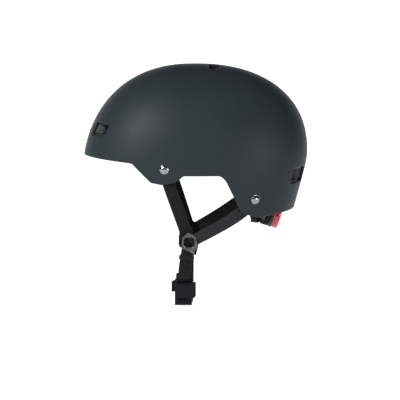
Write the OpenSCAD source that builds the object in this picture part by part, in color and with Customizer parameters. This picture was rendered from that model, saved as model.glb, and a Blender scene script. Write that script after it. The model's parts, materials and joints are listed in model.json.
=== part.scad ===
// Hard-shell sports helmet with a dial-adjusted fit band, Y-strap harness and a
// magnetic chin buckle. Front is -X, the wearer's left is -Y, up is +Z.
// The origin is the middle of the wearer's head at the height of the brow edge.

/* [Shell] */
// Overall length of the hard shell, brow to back
shell_len = 270; // [250:5:300]
// Overall width of the hard shell
shell_w = 210; // [195:5:235]
// Height of the crown above the brow edge
crown_h = 110; // [100:2:125]
// Wall of the hard shell
shell_t = 3; // [2.4:0.2:4]
// Depth of the rear lobe below the brow edge
nape_drop = 68; // [60:1:72]
// Depth of the front lobe, ahead of the ear, below the brow edge
temple_drop = 28; // [24:1:32]

/* [Foam liner] */
// Thickness of the foam liner
liner_t = 20; // [15:1:24]
// How far the foam stays inside the shell's lower edge
liner_recess = 4; // [3:1:6]
// Thickness of the comfort pads
pad_t = 8; // [5:1:10]

/* [Vents] */
// Width and height of each front vent
front_vent = [31, 14]; // [10:1:36]
// Width and height of each rear vent
rear_vent = [36, 17]; // [10:1:40]
// Length and width of each crown vent
crown_vent = [12, 26]; // [8:1:28]
// How much smaller the channel is in the foam, all round
vent_step = 1.5; // [1:0.5:3]

/* [Straps] */
// Width of the webbing
web_w = 15; // [12:1:16]
// Thickness of the webbing
web_t = 1.5; // [1.2:0.1:1.8]
// Radius of a rivet's domed head
rivet_head_r = 5.4; // [4.5:0.1:6]
// Radius of a rivet's shank
rivet_r = 2; // [1.5:0.1:2.4]

/* [Fit dial] */
// Radius of the fit dial
dial_r = 15; // [13:0.5:16]
// Thickness of the coloured dial cap
cap_t = 7; // [5:0.5:8]
// Tooth module of the rack and pinion
tooth_mod = 1.2; // [1.1:0.05:1.25]
// Number of pinion teeth, even
pinion_teeth = 10; // [10:2:10]
// Downward tilt of the dial's axis in degrees
dial_tilt = 18; // [12:1:22]

/* [Hidden] */
$fn = 48;

slack = 0.3;                  // gap between neighbours that only lie close together
run_fit = 0.05;               // radial clearance of a shaft that turns
big = 400;                    // longer than the helmet, for cuts that go right through

// ---- helmet form --------------------------------------------------------------------
dome_n = 2.27;                // roundness of the side and front outlines, 2 is an ellipse
plan_n = 2.25;                // roundness of the outline seen from above
mid_x = -1;                   // middle of the shell's length
front_wide_z = -33;           // level at which the front outline would be longest
rear_wide_z = 6;              // level at which the back outline is longest
side_wide_z = -10;            // level at which the shell is widest
rear_taper = 0.283;           // slope of the back below its widest level
side_taper = 0.12;            // slope of the sides below their widest level
taper_blend = 12;             // length over which a taper sets in
liner_in = shell_t + slack;   // inset of the foam's outer face
cavity_in = liner_in + liner_t;
pad_in = cavity_in + slack;
web_in = shell_t + slack + web_t / 2;     // inset of webbing under the shell
strap_in = web_in + 0.4;      // inset of the straps where they leave the shell
form_bottom = -nape_drop - 12;
long = shell_len / 270;       // lengthwise places move in step with the shell
wide = shell_w / 210;         // sideways places do too

// Distance from the middle to the surface at height z, inset by d.
function reach(z, wide_z, half, taper, d) =
    z >= wide_z
    ? (half - d) * pow(max(0, 1 - pow((z - wide_z) / (crown_h - d - wide_z), dome_n)), 1 / dome_n)
    : half - d - taper * (sqrt(pow(wide_z - z, 2) + taper_blend * taper_blend) - taper_blend);
function front_reach(z, d) = reach(z, front_wide_z, shell_len / 2, 0, d);
function rear_reach(z, d) = reach(z, rear_wide_z, shell_len / 2, rear_taper, d);
function side_reach(z, d) = reach(z, side_wide_z, shell_w / 2, side_taper, d);
function round_pow(v) = sign(v) * pow(abs(v), 2 / plan_n);
function form_point(a, z, d) =
    [mid_x + round_pow(cos(a)) * (cos(a) > 0 ? rear_reach(z, d) : front_reach(z, d)),
     round_pow(sin(a)) * side_reach(z, d), z];
// Half width of the form at a place on its side.
function side_y(x, z, d) =
    side_reach(z, d)
    * pow(1 - pow(abs(x - mid_x) / (x > mid_x ? rear_reach(z, d) : front_reach(z, d)), plan_n),
          1 / plan_n);
// A place on the left side, inset by d, and the outward direction there.
function side_point(place, d) = [place[0], -side_y(place[0], place[1], d), place[1]];
function side_normal(place, d) =
    unit([side_y(place[0] - 0.5, place[1], d) - side_y(place[0] + 0.5, place[1], d), -1,
          side_y(place[0], place[1] - 0.5, d) - side_y(place[0], place[1] + 0.5, d)]);
function unit(v) = v / norm(v);

module form(d, around = 48, rows = 14) {
    top = crown_h - d;
    levels = [for (i = [1:rows]) top - (top - form_bottom) * (1 - cos(90 * i / rows))];
    rings = [for (z = levels) for (j = [0:around - 1]) form_point(360 * j / around, z, d)];
    crown_fan = [for (j = [0:around - 1]) [0, 1 + (j + 1) % around, 1 + j]];
    walls = [for (i = [0:rows - 2]) for (j = [0:around - 1])
        let (a = 1 + i * around + j, b = 1 + i * around + (j + 1) % around)
        each [[a, b, a + around], [b, b + around, a + around]]];
    floor_face = [for (j = [0:around - 1]) 1 + (rows - 1) * around + j];
    polyhedron(points = concat([[mid_x, 0, top]], rings),
               faces = concat(crown_fan, walls, [floor_face]));
}

ear_z = -17.4;                        // level of the top of the ear cut-outs
// Side outline of everything above the lower edge, drawn in X and Z.
module edge_outline(round_r = 5) {
    offset(r = -round_r) offset(r = 2 * round_r) offset(r = -round_r)
        polygon([[-big, big], [-big, 26], [-75 * long, -3.5], [-52.5 * long, 2.5 - temple_drop],
                 [-40 * long, -temple_drop], [-23 * long, 3 - temple_drop], [-14 * long, ear_z],
                 [30 * long, ear_z], [36 * long, -24], [54.5 * long, 6 - nape_drop],
                 [74 * long, -nape_drop], [118 * long, 6 - nape_drop],
                 [big, 6 - nape_drop], [big, big]]);
}
module liner_outline() {
    intersection() {
        offset(delta = -liner_recess) edge_outline();
        translate([-big, liner_rear_z]) square([2 * big, big]);
    }
}
liner_rear_z = 22 - nape_drop;        // the foam stops above the fit dial
module through_sides() rotate([90, 0, 0]) linear_extrude(2 * big, center = true) children();

module rounded(size, r) {
    offset(r = r) square([size[0] - 2 * r, size[1] - 2 * r], center = true);
}

// The vent channels, narrower by step all round.
front_vent_at = [45 * wide, 34];      // sideways and up
rear_vent_at = [36 * wide, -20];
crown_vent_at = [22 * long, 21 * wide];       // back and sideways
vent_reach = 70 * long;       // the end vents cut only beyond this
module vents(step) {
    less = [2 * step, 2 * step];
    for (s = [-1, 1]) {
        translate([-big / 2, s * front_vent_at[0], front_vent_at[1]])
            rotate([90, 0, 90]) linear_extrude(big / 2 - vent_reach) rounded(front_vent - less, 3);
        translate([vent_reach, s * rear_vent_at[0], rear_vent_at[1]])
            rotate([90, 0, 90]) linear_extrude(big / 2) rounded(rear_vent - less, 3);
        translate([crown_vent_at[0], s * crown_vent_at[1], 60])
            linear_extrude(big / 2) rounded(crown_vent - less, 3);
    }
}

// ---- rivets -------------------------------------------------------------------------
front_rivet = [-36.5 * long, -9.5];   // X and Z
rear_rivet = [70.6 * long, 22 - nape_drop];
rivet_stack = shell_t + web_t + 4 * slack;
module at_side(place, d) {
    n = side_normal(place, d);
    translate(side_point(place, d)) rotate([0, acos(n[2]), atan2(n[1], n[0])]) children();
}
module at_rivets() {
    for (s = [0, 1]) mirror([0, s, 0]) {
        at_side(front_rivet, 0) children();
        at_side(rear_rivet, 0) children();
    }
}
washer_t = 1;
module rivet_holes(r) at_rivets() cylinder(r = r, h = 40, center = true);

// ---- shell and liner ----------------------------------------------------------------
module shell() color([0.16, 0.18, 0.2]) {
    difference() {
        intersection() {
            difference() {
                form(0);
                form(shell_t);
            }
            through_sides() edge_outline();
        }
        vents(0);
        rivet_holes(rivet_r + run_fit);
    }
}

web_pocket = 4.5;             // depth of the foam's relief for webbing and rivets
module foam_liner() color([0.1, 0.1, 0.11]) {
    difference() {
        intersection() {
            difference() {
                form(liner_in);
                form(cavity_in);
            }
            through_sides() liner_outline();
        }
        vents(vent_step);
        difference() {
            through_sides() {
                tab_strip(front_rivet, swing_front_at, 2);
                tab_strip(rear_rivet, swing_rear_at, 2);
            }
            form(liner_in + web_pocket);
        }
        for (s = [0, 1]) mirror([0, s, 0])
            at_side(temple_plug_at, cavity_in) translate([0, 0, -5])
                cylinder(r = plug_pin_r + run_fit, h = 5 + plug_pin_len);
        // relief beside the fit band's arms
        arm(0, 1.5);
        mirror([0, 1, 0]) arm(1, 1.5);
    }
}
module strap_rivets() color([0.8, 0.81, 0.83]) {
    at_rivets() {
        intersection() {
            translate([0, 0, 2.6 - dome_ball_r]) sphere(r = dome_ball_r);
            translate([0, 0, slack]) cylinder(r = rivet_head_r, h = 4);
        }
        translate([0, 0, -rivet_stack - washer_t - 0.5])
            cylinder(r = rivet_r, h = rivet_stack + washer_t + 1);
    }
}
dome_ball_r = 8;
module rivet_washers() color([0.6, 0.61, 0.63]) {
    at_rivets() translate([0, 0, -rivet_stack - washer_t]) difference() {
        cylinder(r = rivet_head_r - 0.8, h = washer_t);
        cylinder(r = rivet_r + run_fit, h = 3 * washer_t, center = true);
    }
}

// ---- pads ---------------------------------------------------------------------------
// A pad is a block cut out of the layer that lies against the foam.
module pad_layer() {
    difference() {
        form(pad_in, 36, 12);
        form(pad_in + pad_t, 36, 12);
    }
}
module brow_pad() color([0.12, 0.12, 0.13]) intersection() {
    pad_layer();
    translate([-big / 2, 0, 17]) rotate([90, 0, 90]) linear_extrude(big / 2 - 55 * long)
        rounded([110 * wide, 24], 8);
}
module crown_pad() color([0.12, 0.12, 0.13]) intersection() {
    pad_layer();
    translate([-12, 0, 0]) linear_extrude(big) rounded([34, 60], 10);
}
module left_side_pad() color([0.12, 0.12, 0.13]) intersection() {
    pad_layer();
    translate([12, 0, 24]) rotate([90, 0, 0]) linear_extrude(big) rounded([64, 26], 9);
}
module right_side_pad() mirror([0, 1, 0]) left_side_pad();

// ---- webbing ------------------------------------------------------------------------
function bezier(p, t) =
    pow(1 - t, 3) * p[0] + 3 * t * pow(1 - t, 2) * p[1]
    + 3 * t * t * (1 - t) * p[2] + pow(t, 3) * p[3];
// A flat strip along a curve, its width turning from one direction to another.
module ribbon(p, wide_a, wide_b, w, t, steps = 12) {
    stations = [for (i = [0:steps]) let (
        u = i / steps,
        at = bezier(p, u),
        along = unit(bezier(p, min(1, u + 0.01)) - bezier(p, max(0, u - 0.01))),
        lean = wide_a * (1 - u) + wide_b * u,
        side = unit(lean - along * (lean * along)),
        face = cross(along, side))
        each [at - side * w / 2 - face * t / 2, at + side * w / 2 - face * t / 2,
              at + side * w / 2 + face * t / 2, at - side * w / 2 + face * t / 2]];
    skin = [for (i = [0:steps - 1]) for (k = [0:3])
        let (a = 4 * i + k, b = 4 * i + (k + 1) % 4)
        each [[a, a + 4, b + 4], [a, b + 4, b]]];
    polyhedron(points = stations,
               faces = concat([[0, 1, 2, 3]], skin, [[for (k = [3:-1:0]) 4 * steps + k]]));
}

// Each side of the harness turns about the line through the two places where its
// straps come out from under the shell.
swing_front_at = [-30 * long, -2 - temple_drop];      // X and Z
swing_rear_at = [54 * long, 6 - nape_drop];
swing_front = side_point(swing_front_at, web_in);
swing_rear = side_point(swing_rear_at, web_in);
swing_gap = 1.6;              // gap in the webbing at the swing line
module above_swing(sign) {
    dir = unit(swing_rear - swing_front);
    out = unit(cross(dir, [0, 0, 1]));
    up = cross(out, dir);
    multmatrix([[dir[0], out[0], up[0], swing_front[0]], [dir[1], out[1], up[1], swing_front[1]],
                [dir[2], out[2], up[2], swing_front[2]], [0, 0, 0, 1]])
        translate([-big / 2, -big / 2, sign > 0 ? swing_gap / 2 : -swing_gap / 2 - big])
            cube([big, big, big]);
}
// The end of a strap under the shell, drawn in X and Z, from past its rivet downward.
module tab_strip(rivet, exit, margin) {
    run = exit - rivet;
    translate(rivet) rotate(atan2(run[1], run[0]))
        translate([-tab_past - margin, -web_w / 2 - margin])
            square([norm(run) + tab_past + 12 + margin, web_w + 2 * margin]);
}
tab_past = 9;                 // webbing beyond the rivet

divider_at = [-7.5 * long, -63.5 * wide, -28.5 - nape_drop];
divider_lean = 24;
module at_divider() translate(divider_at) rotate([90 + divider_lean, 0, 0]) children();
function divider_point(p) =
    divider_at + [p[0], -p[1] * sin(divider_lean) - p[2] * cos(divider_lean),
                  p[1] * cos(divider_lean) - p[2] * sin(divider_lean)];

plate_t = 1.6;                // thickness of the divider's back plate
inner_web_z = plate_t + slack + web_t / 2;
outer_web_z = inner_web_z + web_t + slack;
flap_z = outer_web_z + web_t / 2 + slack;
flap_t = 2;

// A run leaves the swing line in line with its end under the shell.
function run_start(rivet, exit) = side_point(exit + 6 * unit(rivet - exit), strap_in);
function in_line(rivet, exit, far) = swing_point(exit) + far * unit(swing_point(exit)
    - side_point(rivet, strap_in));
function swing_point(at) = side_point(at, strap_in);
front_run = [run_start(front_rivet, swing_front_at), in_line(front_rivet, swing_front_at, 12),
             divider_point([-6.5, 24, inner_web_z]), divider_point([0.5, 3, inner_web_z])];
rear_run = [run_start(rear_rivet, swing_rear_at), in_line(rear_rivet, swing_rear_at, 10),
            divider_point([25, 14, outer_web_z]), divider_point([1.5, 0.5, outer_web_z])];
function flat_side(place, run) = cross(side_normal(place, web_in), unit(run));
front_wide = [flat_side(swing_front_at, front_run[1] - front_run[0]), [0.92, -0.1, 0.26]];
rear_wide = [-flat_side(swing_rear_at, rear_run[1] - rear_run[0]), [-0.6, -0.32, 0.73]];
module front_webbing() ribbon(front_run, front_wide[0], front_wide[1], web_w, web_t, 16);
module rear_webbing() ribbon(rear_run, rear_wide[0], rear_wide[1], web_w, web_t, 16);
module tab(rivet, exit) color([0.09, 0.09, 0.1]) difference() {
    intersection() {
        difference() {
            form(shell_t + slack);
            form(shell_t + slack + web_t);
        }
        rotate([90, 0, 0]) linear_extrude(big) tab_strip(rivet, exit, 0);
        above_swing(1);
    }
    at_side(rivet, 0) cylinder(r = rivet_r + slack, h = 40, center = true);
}
module front_strap() color([0.1, 0.1, 0.11]) intersection() {
    front_webbing();
    above_swing(-1);
}
module rear_strap() color([0.14, 0.14, 0.15]) intersection() {
    rear_webbing();
    above_swing(-1);
}
module left_front_strap_tab() tab(front_rivet, swing_front_at);
module left_rear_strap_tab() tab(rear_rivet, swing_rear_at);
module right_front_strap_tab() mirror([0, 1, 0]) left_front_strap_tab();
module right_rear_strap_tab() mirror([0, 1, 0]) left_rear_strap_tab();
module left_front_strap() front_strap();
module left_rear_strap() rear_strap();
module right_front_strap() mirror([0, 1, 0]) front_strap();
module right_rear_strap() mirror([0, 1, 0]) rear_strap();

// ---- strap dividers -----------------------------------------------------------------
// Drawn flat: X forward to back, Y up the strap, thickness away from the wearer.
hinge_a = [-9.6, -4.3];       // the flap's hinge line, just inside the slanted lower edge
hinge_b = [6.6, -14.1];
hinge_pin_r = 0.7;
knuckle_r = 1.4;
ear_w = 1.5;
hinge_gap = 0.2;
hinge_len = norm(hinge_b - hinge_a);
hinge_z = flap_z + flap_t / 2;
module divider_outline() {
    offset(r = 1.5) polygon([[-1, 13.5], [-7, 8.5], [-10.6, 7], [-10.9, -4.8],
                             [6.3, -15.3], [8, -13.2], [10, -2], [7, 8.5]]);
}
module flap_outline() {
    offset(r = 1.5) polygon([[-1, 13.2], [-6.5, 6.5], [-7.6, -3.4], [5.2, -11.2], [9, -3], [6, 9]]);
}
module at_hinge() {
    run = hinge_b - hinge_a;
    translate([hinge_a[0], hinge_a[1], hinge_z]) rotate([0, 0, atan2(run[1], run[0])])
        rotate([0, 90, 0]) children();
}
module divider() color([0.08, 0.08, 0.09]) at_divider() {
    linear_extrude(plate_t) difference() {
        divider_outline();
        translate([0.5, 1]) rounded([9, 8], 2);
    }
    // side post that keeps the webbing between plate and flap
    translate([-11.4, 2, 0]) linear_extrude(flap_z - slack) rounded([1.6, 9], 0.7);
    // ears and pin of the flap's hinge
    at_hinge() {
        for (z = [-ear_w - hinge_gap, hinge_len + hinge_gap]) translate([0, 0, z]) {
            cylinder(r = knuckle_r, h = ear_w);
            translate([0, -knuckle_r, 0]) cube([hinge_z - plate_t / 2, 2 * knuckle_r, ear_w]);
        }
        translate([0, 0, -ear_w]) cylinder(r = hinge_pin_r, h = hinge_len + 2 * ear_w);
    }
}
module divider_flap() color([0.2, 0.2, 0.22]) at_divider() {
    difference() {
        union() {
            translate([0, 0, flap_z]) linear_extrude(flap_t) difference() {
                flap_outline();
                translate([0, 1.2]) rounded([12.5, 13.5], 4.5);
            }
            at_hinge() cylinder(r = knuckle_r, h = hinge_len);
        }
        at_hinge() {
            translate([0, 0, -5]) cylinder(r = hinge_pin_r + run_fit, h = hinge_len + 10);
            // room for the ears
            for (z = [-ear_w - 2 * hinge_gap, hinge_len])
                translate([0, 0, z]) cylinder(r = knuckle_r + 2 * hinge_gap, h = ear_w + 2 * hinge_gap);
        }
    }
}
module left_divider() divider();
module right_divider() mirror([0, 1, 0]) divider();
module left_divider_flap() divider_flap();
module right_divider_flap() mirror([0, 1, 0]) divider_flap();

// ---- buckle -------------------------------------------------------------------------
// Drawn flat: X forward to back, Y up, thickness away from the wearer.
buckle_at = [-12 * long, -46 * wide, divider_at[2] - 59.5];
half_t = 5.4;
pocket_cover = 1.6;           // wall in front of the inner half's webbing pocket
plate_w = 25;
module at_buckle() translate(buckle_at) rotate([90, 0, 0]) children();
function buckle_point(p) = buckle_at + [p[0], -p[2], p[1]];

bar_y = 15;                   // height of the webbing bar on the outer half
module outer_buckle_half() color([0.11, 0.11, 0.12]) at_buckle() translate([0, 0, slack / 2]) {
    difference() {
        union() {
            linear_extrude(half_t) offset(r = 1) polygon([
                [1 - plate_w / 2, 7.5], [plate_w / 2 - 1, 7.5], [plate_w / 2 - 1, -7.5],
                [plate_w / 2 - 3.5, -9.7], [1 - plate_w / 2, -9.7]]);
            translate([-0.8, 13]) linear_extrude(half_t - 1.6) rounded([20.4, 12.6], 1.5);
        }
        translate([-0.8, 10.6, -1]) linear_extrude(half_t + 2) rounded([web_w + 1.4, 4.4], 1);
        translate([0, -1, -1]) cylinder(r = magnet_r + run_fit, h = magnet_t + 1);
    }
}
magnet_r = 5.5;
magnet_t = 2.4;
module outer_buckle_magnet() color([0.6, 0.61, 0.63]) at_buckle()
    translate([0, -1, slack / 2]) cylinder(r = magnet_r, h = magnet_t);

module inner_buckle_half() color([0.08, 0.08, 0.09]) at_buckle() translate([0, 0, -slack / 2 - half_t]) {
    difference() {
        linear_extrude(half_t) offset(r = 1.4) polygon([
            [-15, 8.5], [-11.5, 13], [6.4, 13], [6.4, -18.2], [-11.2, -18.2],
            [-11.2, -2], [-15, -2]]);
        // pocket that takes the loop, closed in front by a cover
        translate([-2.4, -14, -1]) linear_extrude(half_t - pocket_cover + 1) rounded([web_w + 0.8, 3.6], 1);
        translate([0, -1, half_t - magnet_t]) cylinder(r = magnet_r + run_fit, h = magnet_t + 1);
    }
}
module inner_buckle_magnet() color([0.6, 0.61, 0.63]) at_buckle()
    translate([0, -1, -slack / 2 - magnet_t]) cylinder(r = magnet_r, h = magnet_t);

// ---- chin straps --------------------------------------------------------------------
left_chin_run = [divider_point([-0.5, -3, inner_web_z]), divider_point([-2, -20, inner_web_z + 0.3]),
                 buckle_point([-0.8, 30, half_t + 3.5]), buckle_point([-0.8, bar_y + 2.4, half_t + 0.6])];
module left_chin_strap() color([0.1, 0.1, 0.11]) {
    ribbon(left_chin_run, [1, 0, 0], [1, 0, 0], web_w, web_t, 14);
}
loop_start = buckle_point([-2.4, -14, -2]);
loop_end = buckle_point([-2.4, -19.5, -16]);
right_low = buckle_at + [1, 52 * wide, -21.5];        // lowest run, under the chin
function across(p) = [p[0], -p[1], p[2]];
inner_loop_run = [loop_start, buckle_point([-2.4, -14, -8]), buckle_point([-2.4, -17.5, -11]), loop_end];
right_low_run = [loop_end + [0, slack, -0.1], loop_end + [0, 8, -2.4], right_low - [1, 15 * wide, 0], right_low];
right_chin_run = [right_low, right_low + [2, 21 * wide, 0],
                  across(divider_point([-3, -42, inner_web_z + 2])),
                  across(divider_point([-1.3, -3, inner_web_z]))];
module right_chin_strap() color([0.1, 0.1, 0.11]) {
    ribbon(right_low_run, [1, 0, 0], [1, 0, 0], web_w, web_t, 8);
    ribbon(right_chin_run, [1, 0, 0], [1, 0, 0], web_w, web_t, 14);
}
module inner_buckle_loop() color([0.1, 0.1, 0.11])
    ribbon(inner_loop_run, [1, 0, 0], [1, 0, 0], web_w, web_t, 6);

keeper_u = 0.42;              // place of the rubber keeper along the chin strap
module strap_keeper() color([0.05, 0.05, 0.06]) {
    at = bezier(left_chin_run, keeper_u);
    along = unit(bezier(left_chin_run, keeper_u + 0.02) - bezier(left_chin_run, keeper_u - 0.02));
    face = unit(cross(along, [1, 0, 0]));
    wide = cross(face, along);
    multmatrix([[wide[0], along[0], face[0], at[0]], [wide[1], along[1], face[1], at[1]],
                [wide[2], along[2], face[2], at[2]], [0, 0, 0, 1]])
        rotate([90, 0, 0]) linear_extrude(4, center = true) difference() {
            rounded([web_w + 2.8, web_t + 2.8], 1);
            square([web_w + 2 * slack, web_t + 2 * slack], center = true);
        }
}

// ---- fit dial -----------------------------------------------------------------------
// Drawn along the dial's own axis: Z out of the cap, -X up, Y to the wearer's right.
dial_at = [mid_x + rear_reach(-6.3 - nape_drop, 0) - 12.4, 0, -6.3 - nape_drop];
module at_dial() translate(dial_at) rotate([0, 90 + dial_tilt, 0]) children();
function dial_point(p) =
    dial_at + [-p[0] * sin(dial_tilt) + p[2] * cos(dial_tilt), p[1],
               -p[0] * cos(dial_tilt) - p[2] * sin(dial_tilt)];
knob_t = 6;
cover_t = 3.2;
housing_t = 5.2;
knob_z = -cap_t - knob_t;
cover_z = knob_z - slack - cover_t;
housing_z = cover_z - housing_t;
housing_size = [27, 44];      // up the dial plane, sideways
rack_t = 1.4;
rack_gap = 0.3;               // between the two rack strips, which lie on each other
rack_z = housing_z + 1.4 + slack;     // wearer's side face of the left rack
window_clear = 0.4;           // room between the pinion and the plain edge of a window
rail = 2.6;                   // strip left above and below a window
shaft_r = 3;
pinion_t = 2 * rack_t + rack_gap;
pitch_r = tooth_mod * pinion_teeth / 2;
pitch = PI * tooth_mod;
addendum = 0.58 * tooth_mod;
dedendum = 0.75 * tooth_mod;
mesh_gap = 0.1;               // racks stand this much off the pitch circle
backlash = 0.3;
flank_angle = 25;

module pinion_outline() {
    base_r = pitch_r * cos(flank_angle);
    half_at_pitch = 90 / pinion_teeth - backlash / 2 / pitch_r * 57.3 / 2;
    function roll(r) = r <= base_r ? 0 : sqrt(r * r / base_r / base_r - 1) * 57.2958
        - acos(base_r / r);
    circle(r = pitch_r - dedendum);
    for (k = [0:pinion_teeth - 1]) rotate(360 * k / pinion_teeth) polygon([
        for (s = [-1, 1]) for (i = [0:4])
            let (f = s < 0 ? i / 4 : 1 - i / 4,
                 r = pitch_r - dedendum - 0.3 + f * (addendum + dedendum + 0.3),
                 a = s * (half_at_pitch + roll(pitch_r) - roll(r)))
            [r * cos(a), r * sin(a)]]);
}
arm_travel = 12;              // how far each arm can be wound in
arm_straight = 36;            // sideways place where the arm starts to curve
arm_end = [20 * long, 6 - side_y(20 * long, -7, cavity_in), -7];     // beside the temple
arm_t = 1.4;
arm_h = 15;
window_h = 2 * (pitch_r + addendum + window_clear);
rack_h = window_h + 2 * rail;
rack_past = window_h / 2 + 0.5;   // window beyond the pinion's middle when the band is loose
rack_tip = 2.2;               // solid end of the strip past its window

// A flat strip along Y with a window whose lower edge, toward +X, is toothed.
module rack_outline() {
    tip_w = pitch / 2 - backlash / 2 - 2 * addendum * tan(flank_angle);
    root_w = pitch / 2 - backlash / 2 + 2 * dedendum * tan(flank_angle);
    root_x = pitch_r + mesh_gap + dedendum;
    window_a = -arm_travel - rack_past - 1;
    last = floor(-window_a / pitch - 1);
    difference() {
        translate([-rack_h / 2, -arm_straight]) square([rack_h, arm_straight + rack_past + rack_tip]);
        translate([-window_h / 2, window_a]) square([window_h / 2 + root_x, rack_past - window_a]);
    }
    for (k = [0:last]) translate([0, -(k + 0.5) * pitch]) tooth(root_x, tip_w, root_w);
    for (k = [0, 1]) translate([0, (k + 0.5) * pitch]) tooth(root_x, tip_w, root_w);
}
module tooth(root_x, tip_w, root_w) {
    tip_x = root_x - dedendum - addendum;
    polygon([[tip_x, -tip_w / 2], [tip_x, tip_w / 2],
             [root_x + 0.01, root_w / 2], [root_x + 0.01, -root_w / 2]]);
}
module rack(layer) at_dial() translate([0, 0, rack_z + layer * (rack_t + rack_gap)])
    linear_extrude(rack_t) rack_outline();
module arm(layer, room = 0) {
    start = dial_point([0, -arm_straight + 0.01, rack_z + layer * (rack_t + rack_gap) + rack_t / 2]);
    ribbon([start, start + [0, -14, 0], arm_end + [46 * long, 8, -20], arm_end],
           [sin(dial_tilt), 0, cos(dial_tilt)], [0.45, 0, 1], arm_h + 2 * room, arm_t + 2 * room, 16);
}
module left_rack_arm() color([0.12, 0.12, 0.13]) {
    rack(0);
    arm(0);
}
// The right arm is the left one turned half round the dial's axis where they cross.
module right_rack_arm() color([0.12, 0.12, 0.13]) {
    at_dial() rotate([0, 0, 180]) translate([0, 0, rack_z + rack_t + rack_gap])
        linear_extrude(rack_t) rack_outline();
    mirror([0, 1, 0]) arm(1);
}

temple_plug_at = [-55 * long, -3];    // X and Z
plug_pin_r = 3;
plug_pin_len = 10;
plug_head_t = 1.2;
plug_head_r = 5;
plug_head_z = -arm_t - 7 * slack - plug_head_t;
band_in = cavity_in + 2 * slack + arm_t / 2;
module left_temple_band() color([0.12, 0.12, 0.13]) difference() {
    ribbon([arm_end + [-3.5, 0, 0.3], arm_end + [-26 * long, -1, 7],
            side_point(temple_plug_at + [20, 1], band_in), side_point(temple_plug_at - [6, 0], band_in)],
           [0.3, 0, 1], [0, 0, 1], 9, arm_t, 12);
    at_side(temple_plug_at, cavity_in) {
        cylinder(r = plug_pin_r + run_fit, h = 40, center = true);
        translate([0, 0, plug_head_z - slack]) cylinder(r = plug_head_r + slack, h = plug_head_t + 2 * slack);
    }
}
module right_temple_band() mirror([0, 1, 0]) left_temple_band();
module left_temple_plug() color([0.1, 0.1, 0.11])
    at_side(temple_plug_at, cavity_in) translate([0, 0, plug_head_z]) {
        cylinder(r = plug_head_r, h = plug_head_t);
        cylinder(r = plug_pin_r, h = plug_pin_len - plug_head_z);
    }
module right_temple_plug() mirror([0, 1, 0]) left_temple_plug();

module housing_outline() rounded(housing_size, 5);
module dial_housing() color([0.1, 0.1, 0.11]) at_dial() translate([0, 0, housing_z]) {
    difference() {
        linear_extrude(housing_t - slack / 3) housing_outline();
        // rack chamber and the side slots that the racks run through
        translate([0, 0, 1.4]) linear_extrude(housing_t)
            rounded([rack_h + 2 * slack, housing_size[1] - 5], 1);
        translate([0, 0, 1.4 + housing_t / 2])
            cube([rack_h + 2 * slack, housing_size[1] + 2, housing_t], center = true);
    }
}
module dial_cover() color([0.1, 0.1, 0.11]) at_dial() translate([0, 0, cover_z]) {
    difference() {
        linear_extrude(cover_t) housing_outline();
        translate([0, 0, -1]) cylinder(r = shaft_r + run_fit, h = cover_t + 2);
    }
}
module dial_pinion() color([0.75, 0.75, 0.72]) at_dial() {
    translate([0, 0, rack_z]) linear_extrude(pinion_t) pinion_outline();
    translate([0, 0, rack_z + pinion_t - 0.01])
        cylinder(r = shaft_r, h = knob_z - rack_z - pinion_t + 3);
}
module dial_knob() color([0.06, 0.06, 0.07]) at_dial() translate([0, 0, knob_z]) {
    difference() {
        linear_extrude(knob_t) union() {
            circle(r = dial_r - 0.4);
            for (k = [0:17]) rotate(20 * k) translate([dial_r - 0.4, 0]) circle(r = 0.9, $fn = 16);
        }
        translate([0, 0, -1]) cylinder(r = shaft_r + run_fit, h = 4.01);
    }
}
module dial_cap() color([0.85, 0.05, 0.09]) at_dial() translate([0, 0, -cap_t + slack / 3]) {
    cylinder(r = dial_r, h = cap_t - 1.5);
    translate([0, 0, cap_t - 1.51]) cylinder(r1 = dial_r, r2 = dial_r - 1.2, h = 1.2);
}

cradle_r = 58;                // curve of the cradle round the back of the head
cradle_arc = 34;              // half of the cradle's sweep in degrees
cradle_h = 24;
cradle_t = 2.4;
hanger_z = -27;               // top of the hanger, inside the foam's rear lobe
module cradle_arc_solid(r, t, h, arc) {
    at_dial() translate([2, 0, housing_z - slack - cradle_t - cradle_r]) rotate([0, -90, 0])
        rotate([0, 0, -arc]) rotate_extrude(angle = 2 * arc) translate([r + t / 2, 0]) rounded([t, h], 1);
}
module nape_cradle() color([0.1, 0.1, 0.11]) cradle_arc_solid(cradle_r, cradle_t, cradle_h, cradle_arc);
module cradle_pad() color([0.13, 0.13, 0.14])
    cradle_arc_solid(cradle_r - 5 - slack, 5, cradle_h - 4, cradle_arc - 4);
module cradle_hanger() color([0.1, 0.1, 0.11]) {
    foot = dial_point([-11, 0, housing_z - 1]);
    top = [mid_x + rear_reach(hanger_z, cavity_in) - 2.7, 0, hanger_z];
    ribbon([foot + [-1.5, 0, 2.5], foot + [2, 0, 10], top - [2.5, 0, 13], top],
           [0, 1, 0], [0, 1, 0], 18, 1.6, 8);
}

shell();
foam_liner();
strap_rivets();
rivet_washers();
brow_pad();
crown_pad();
left_side_pad();
right_side_pad();
left_temple_plug();
right_temple_plug();
left_temple_band();
right_temple_band();
left_rack_arm();
right_rack_arm();
cradle_hanger();
nape_cradle();
cradle_pad();
dial_housing();
dial_cover();
dial_pinion();
dial_knob();
dial_cap();
left_front_strap_tab();
left_rear_strap_tab();
right_front_strap_tab();
right_rear_strap_tab();
left_front_strap();
left_rear_strap();
right_front_strap();
right_rear_strap();
left_divider();
right_divider();
left_divider_flap();
right_divider_flap();
left_chin_strap();
right_chin_strap();
strap_keeper();
outer_buckle_half();
outer_buckle_magnet();
inner_buckle_half();
inner_buckle_magnet();
inner_buckle_loop();
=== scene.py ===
"""Visual model of a hard-shell sports helmet: shell, foam, pads, fit dial and harness."""
import json
import logging
import math
from dataclasses import dataclass, field
from enum import Enum
from typing import Callable

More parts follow.
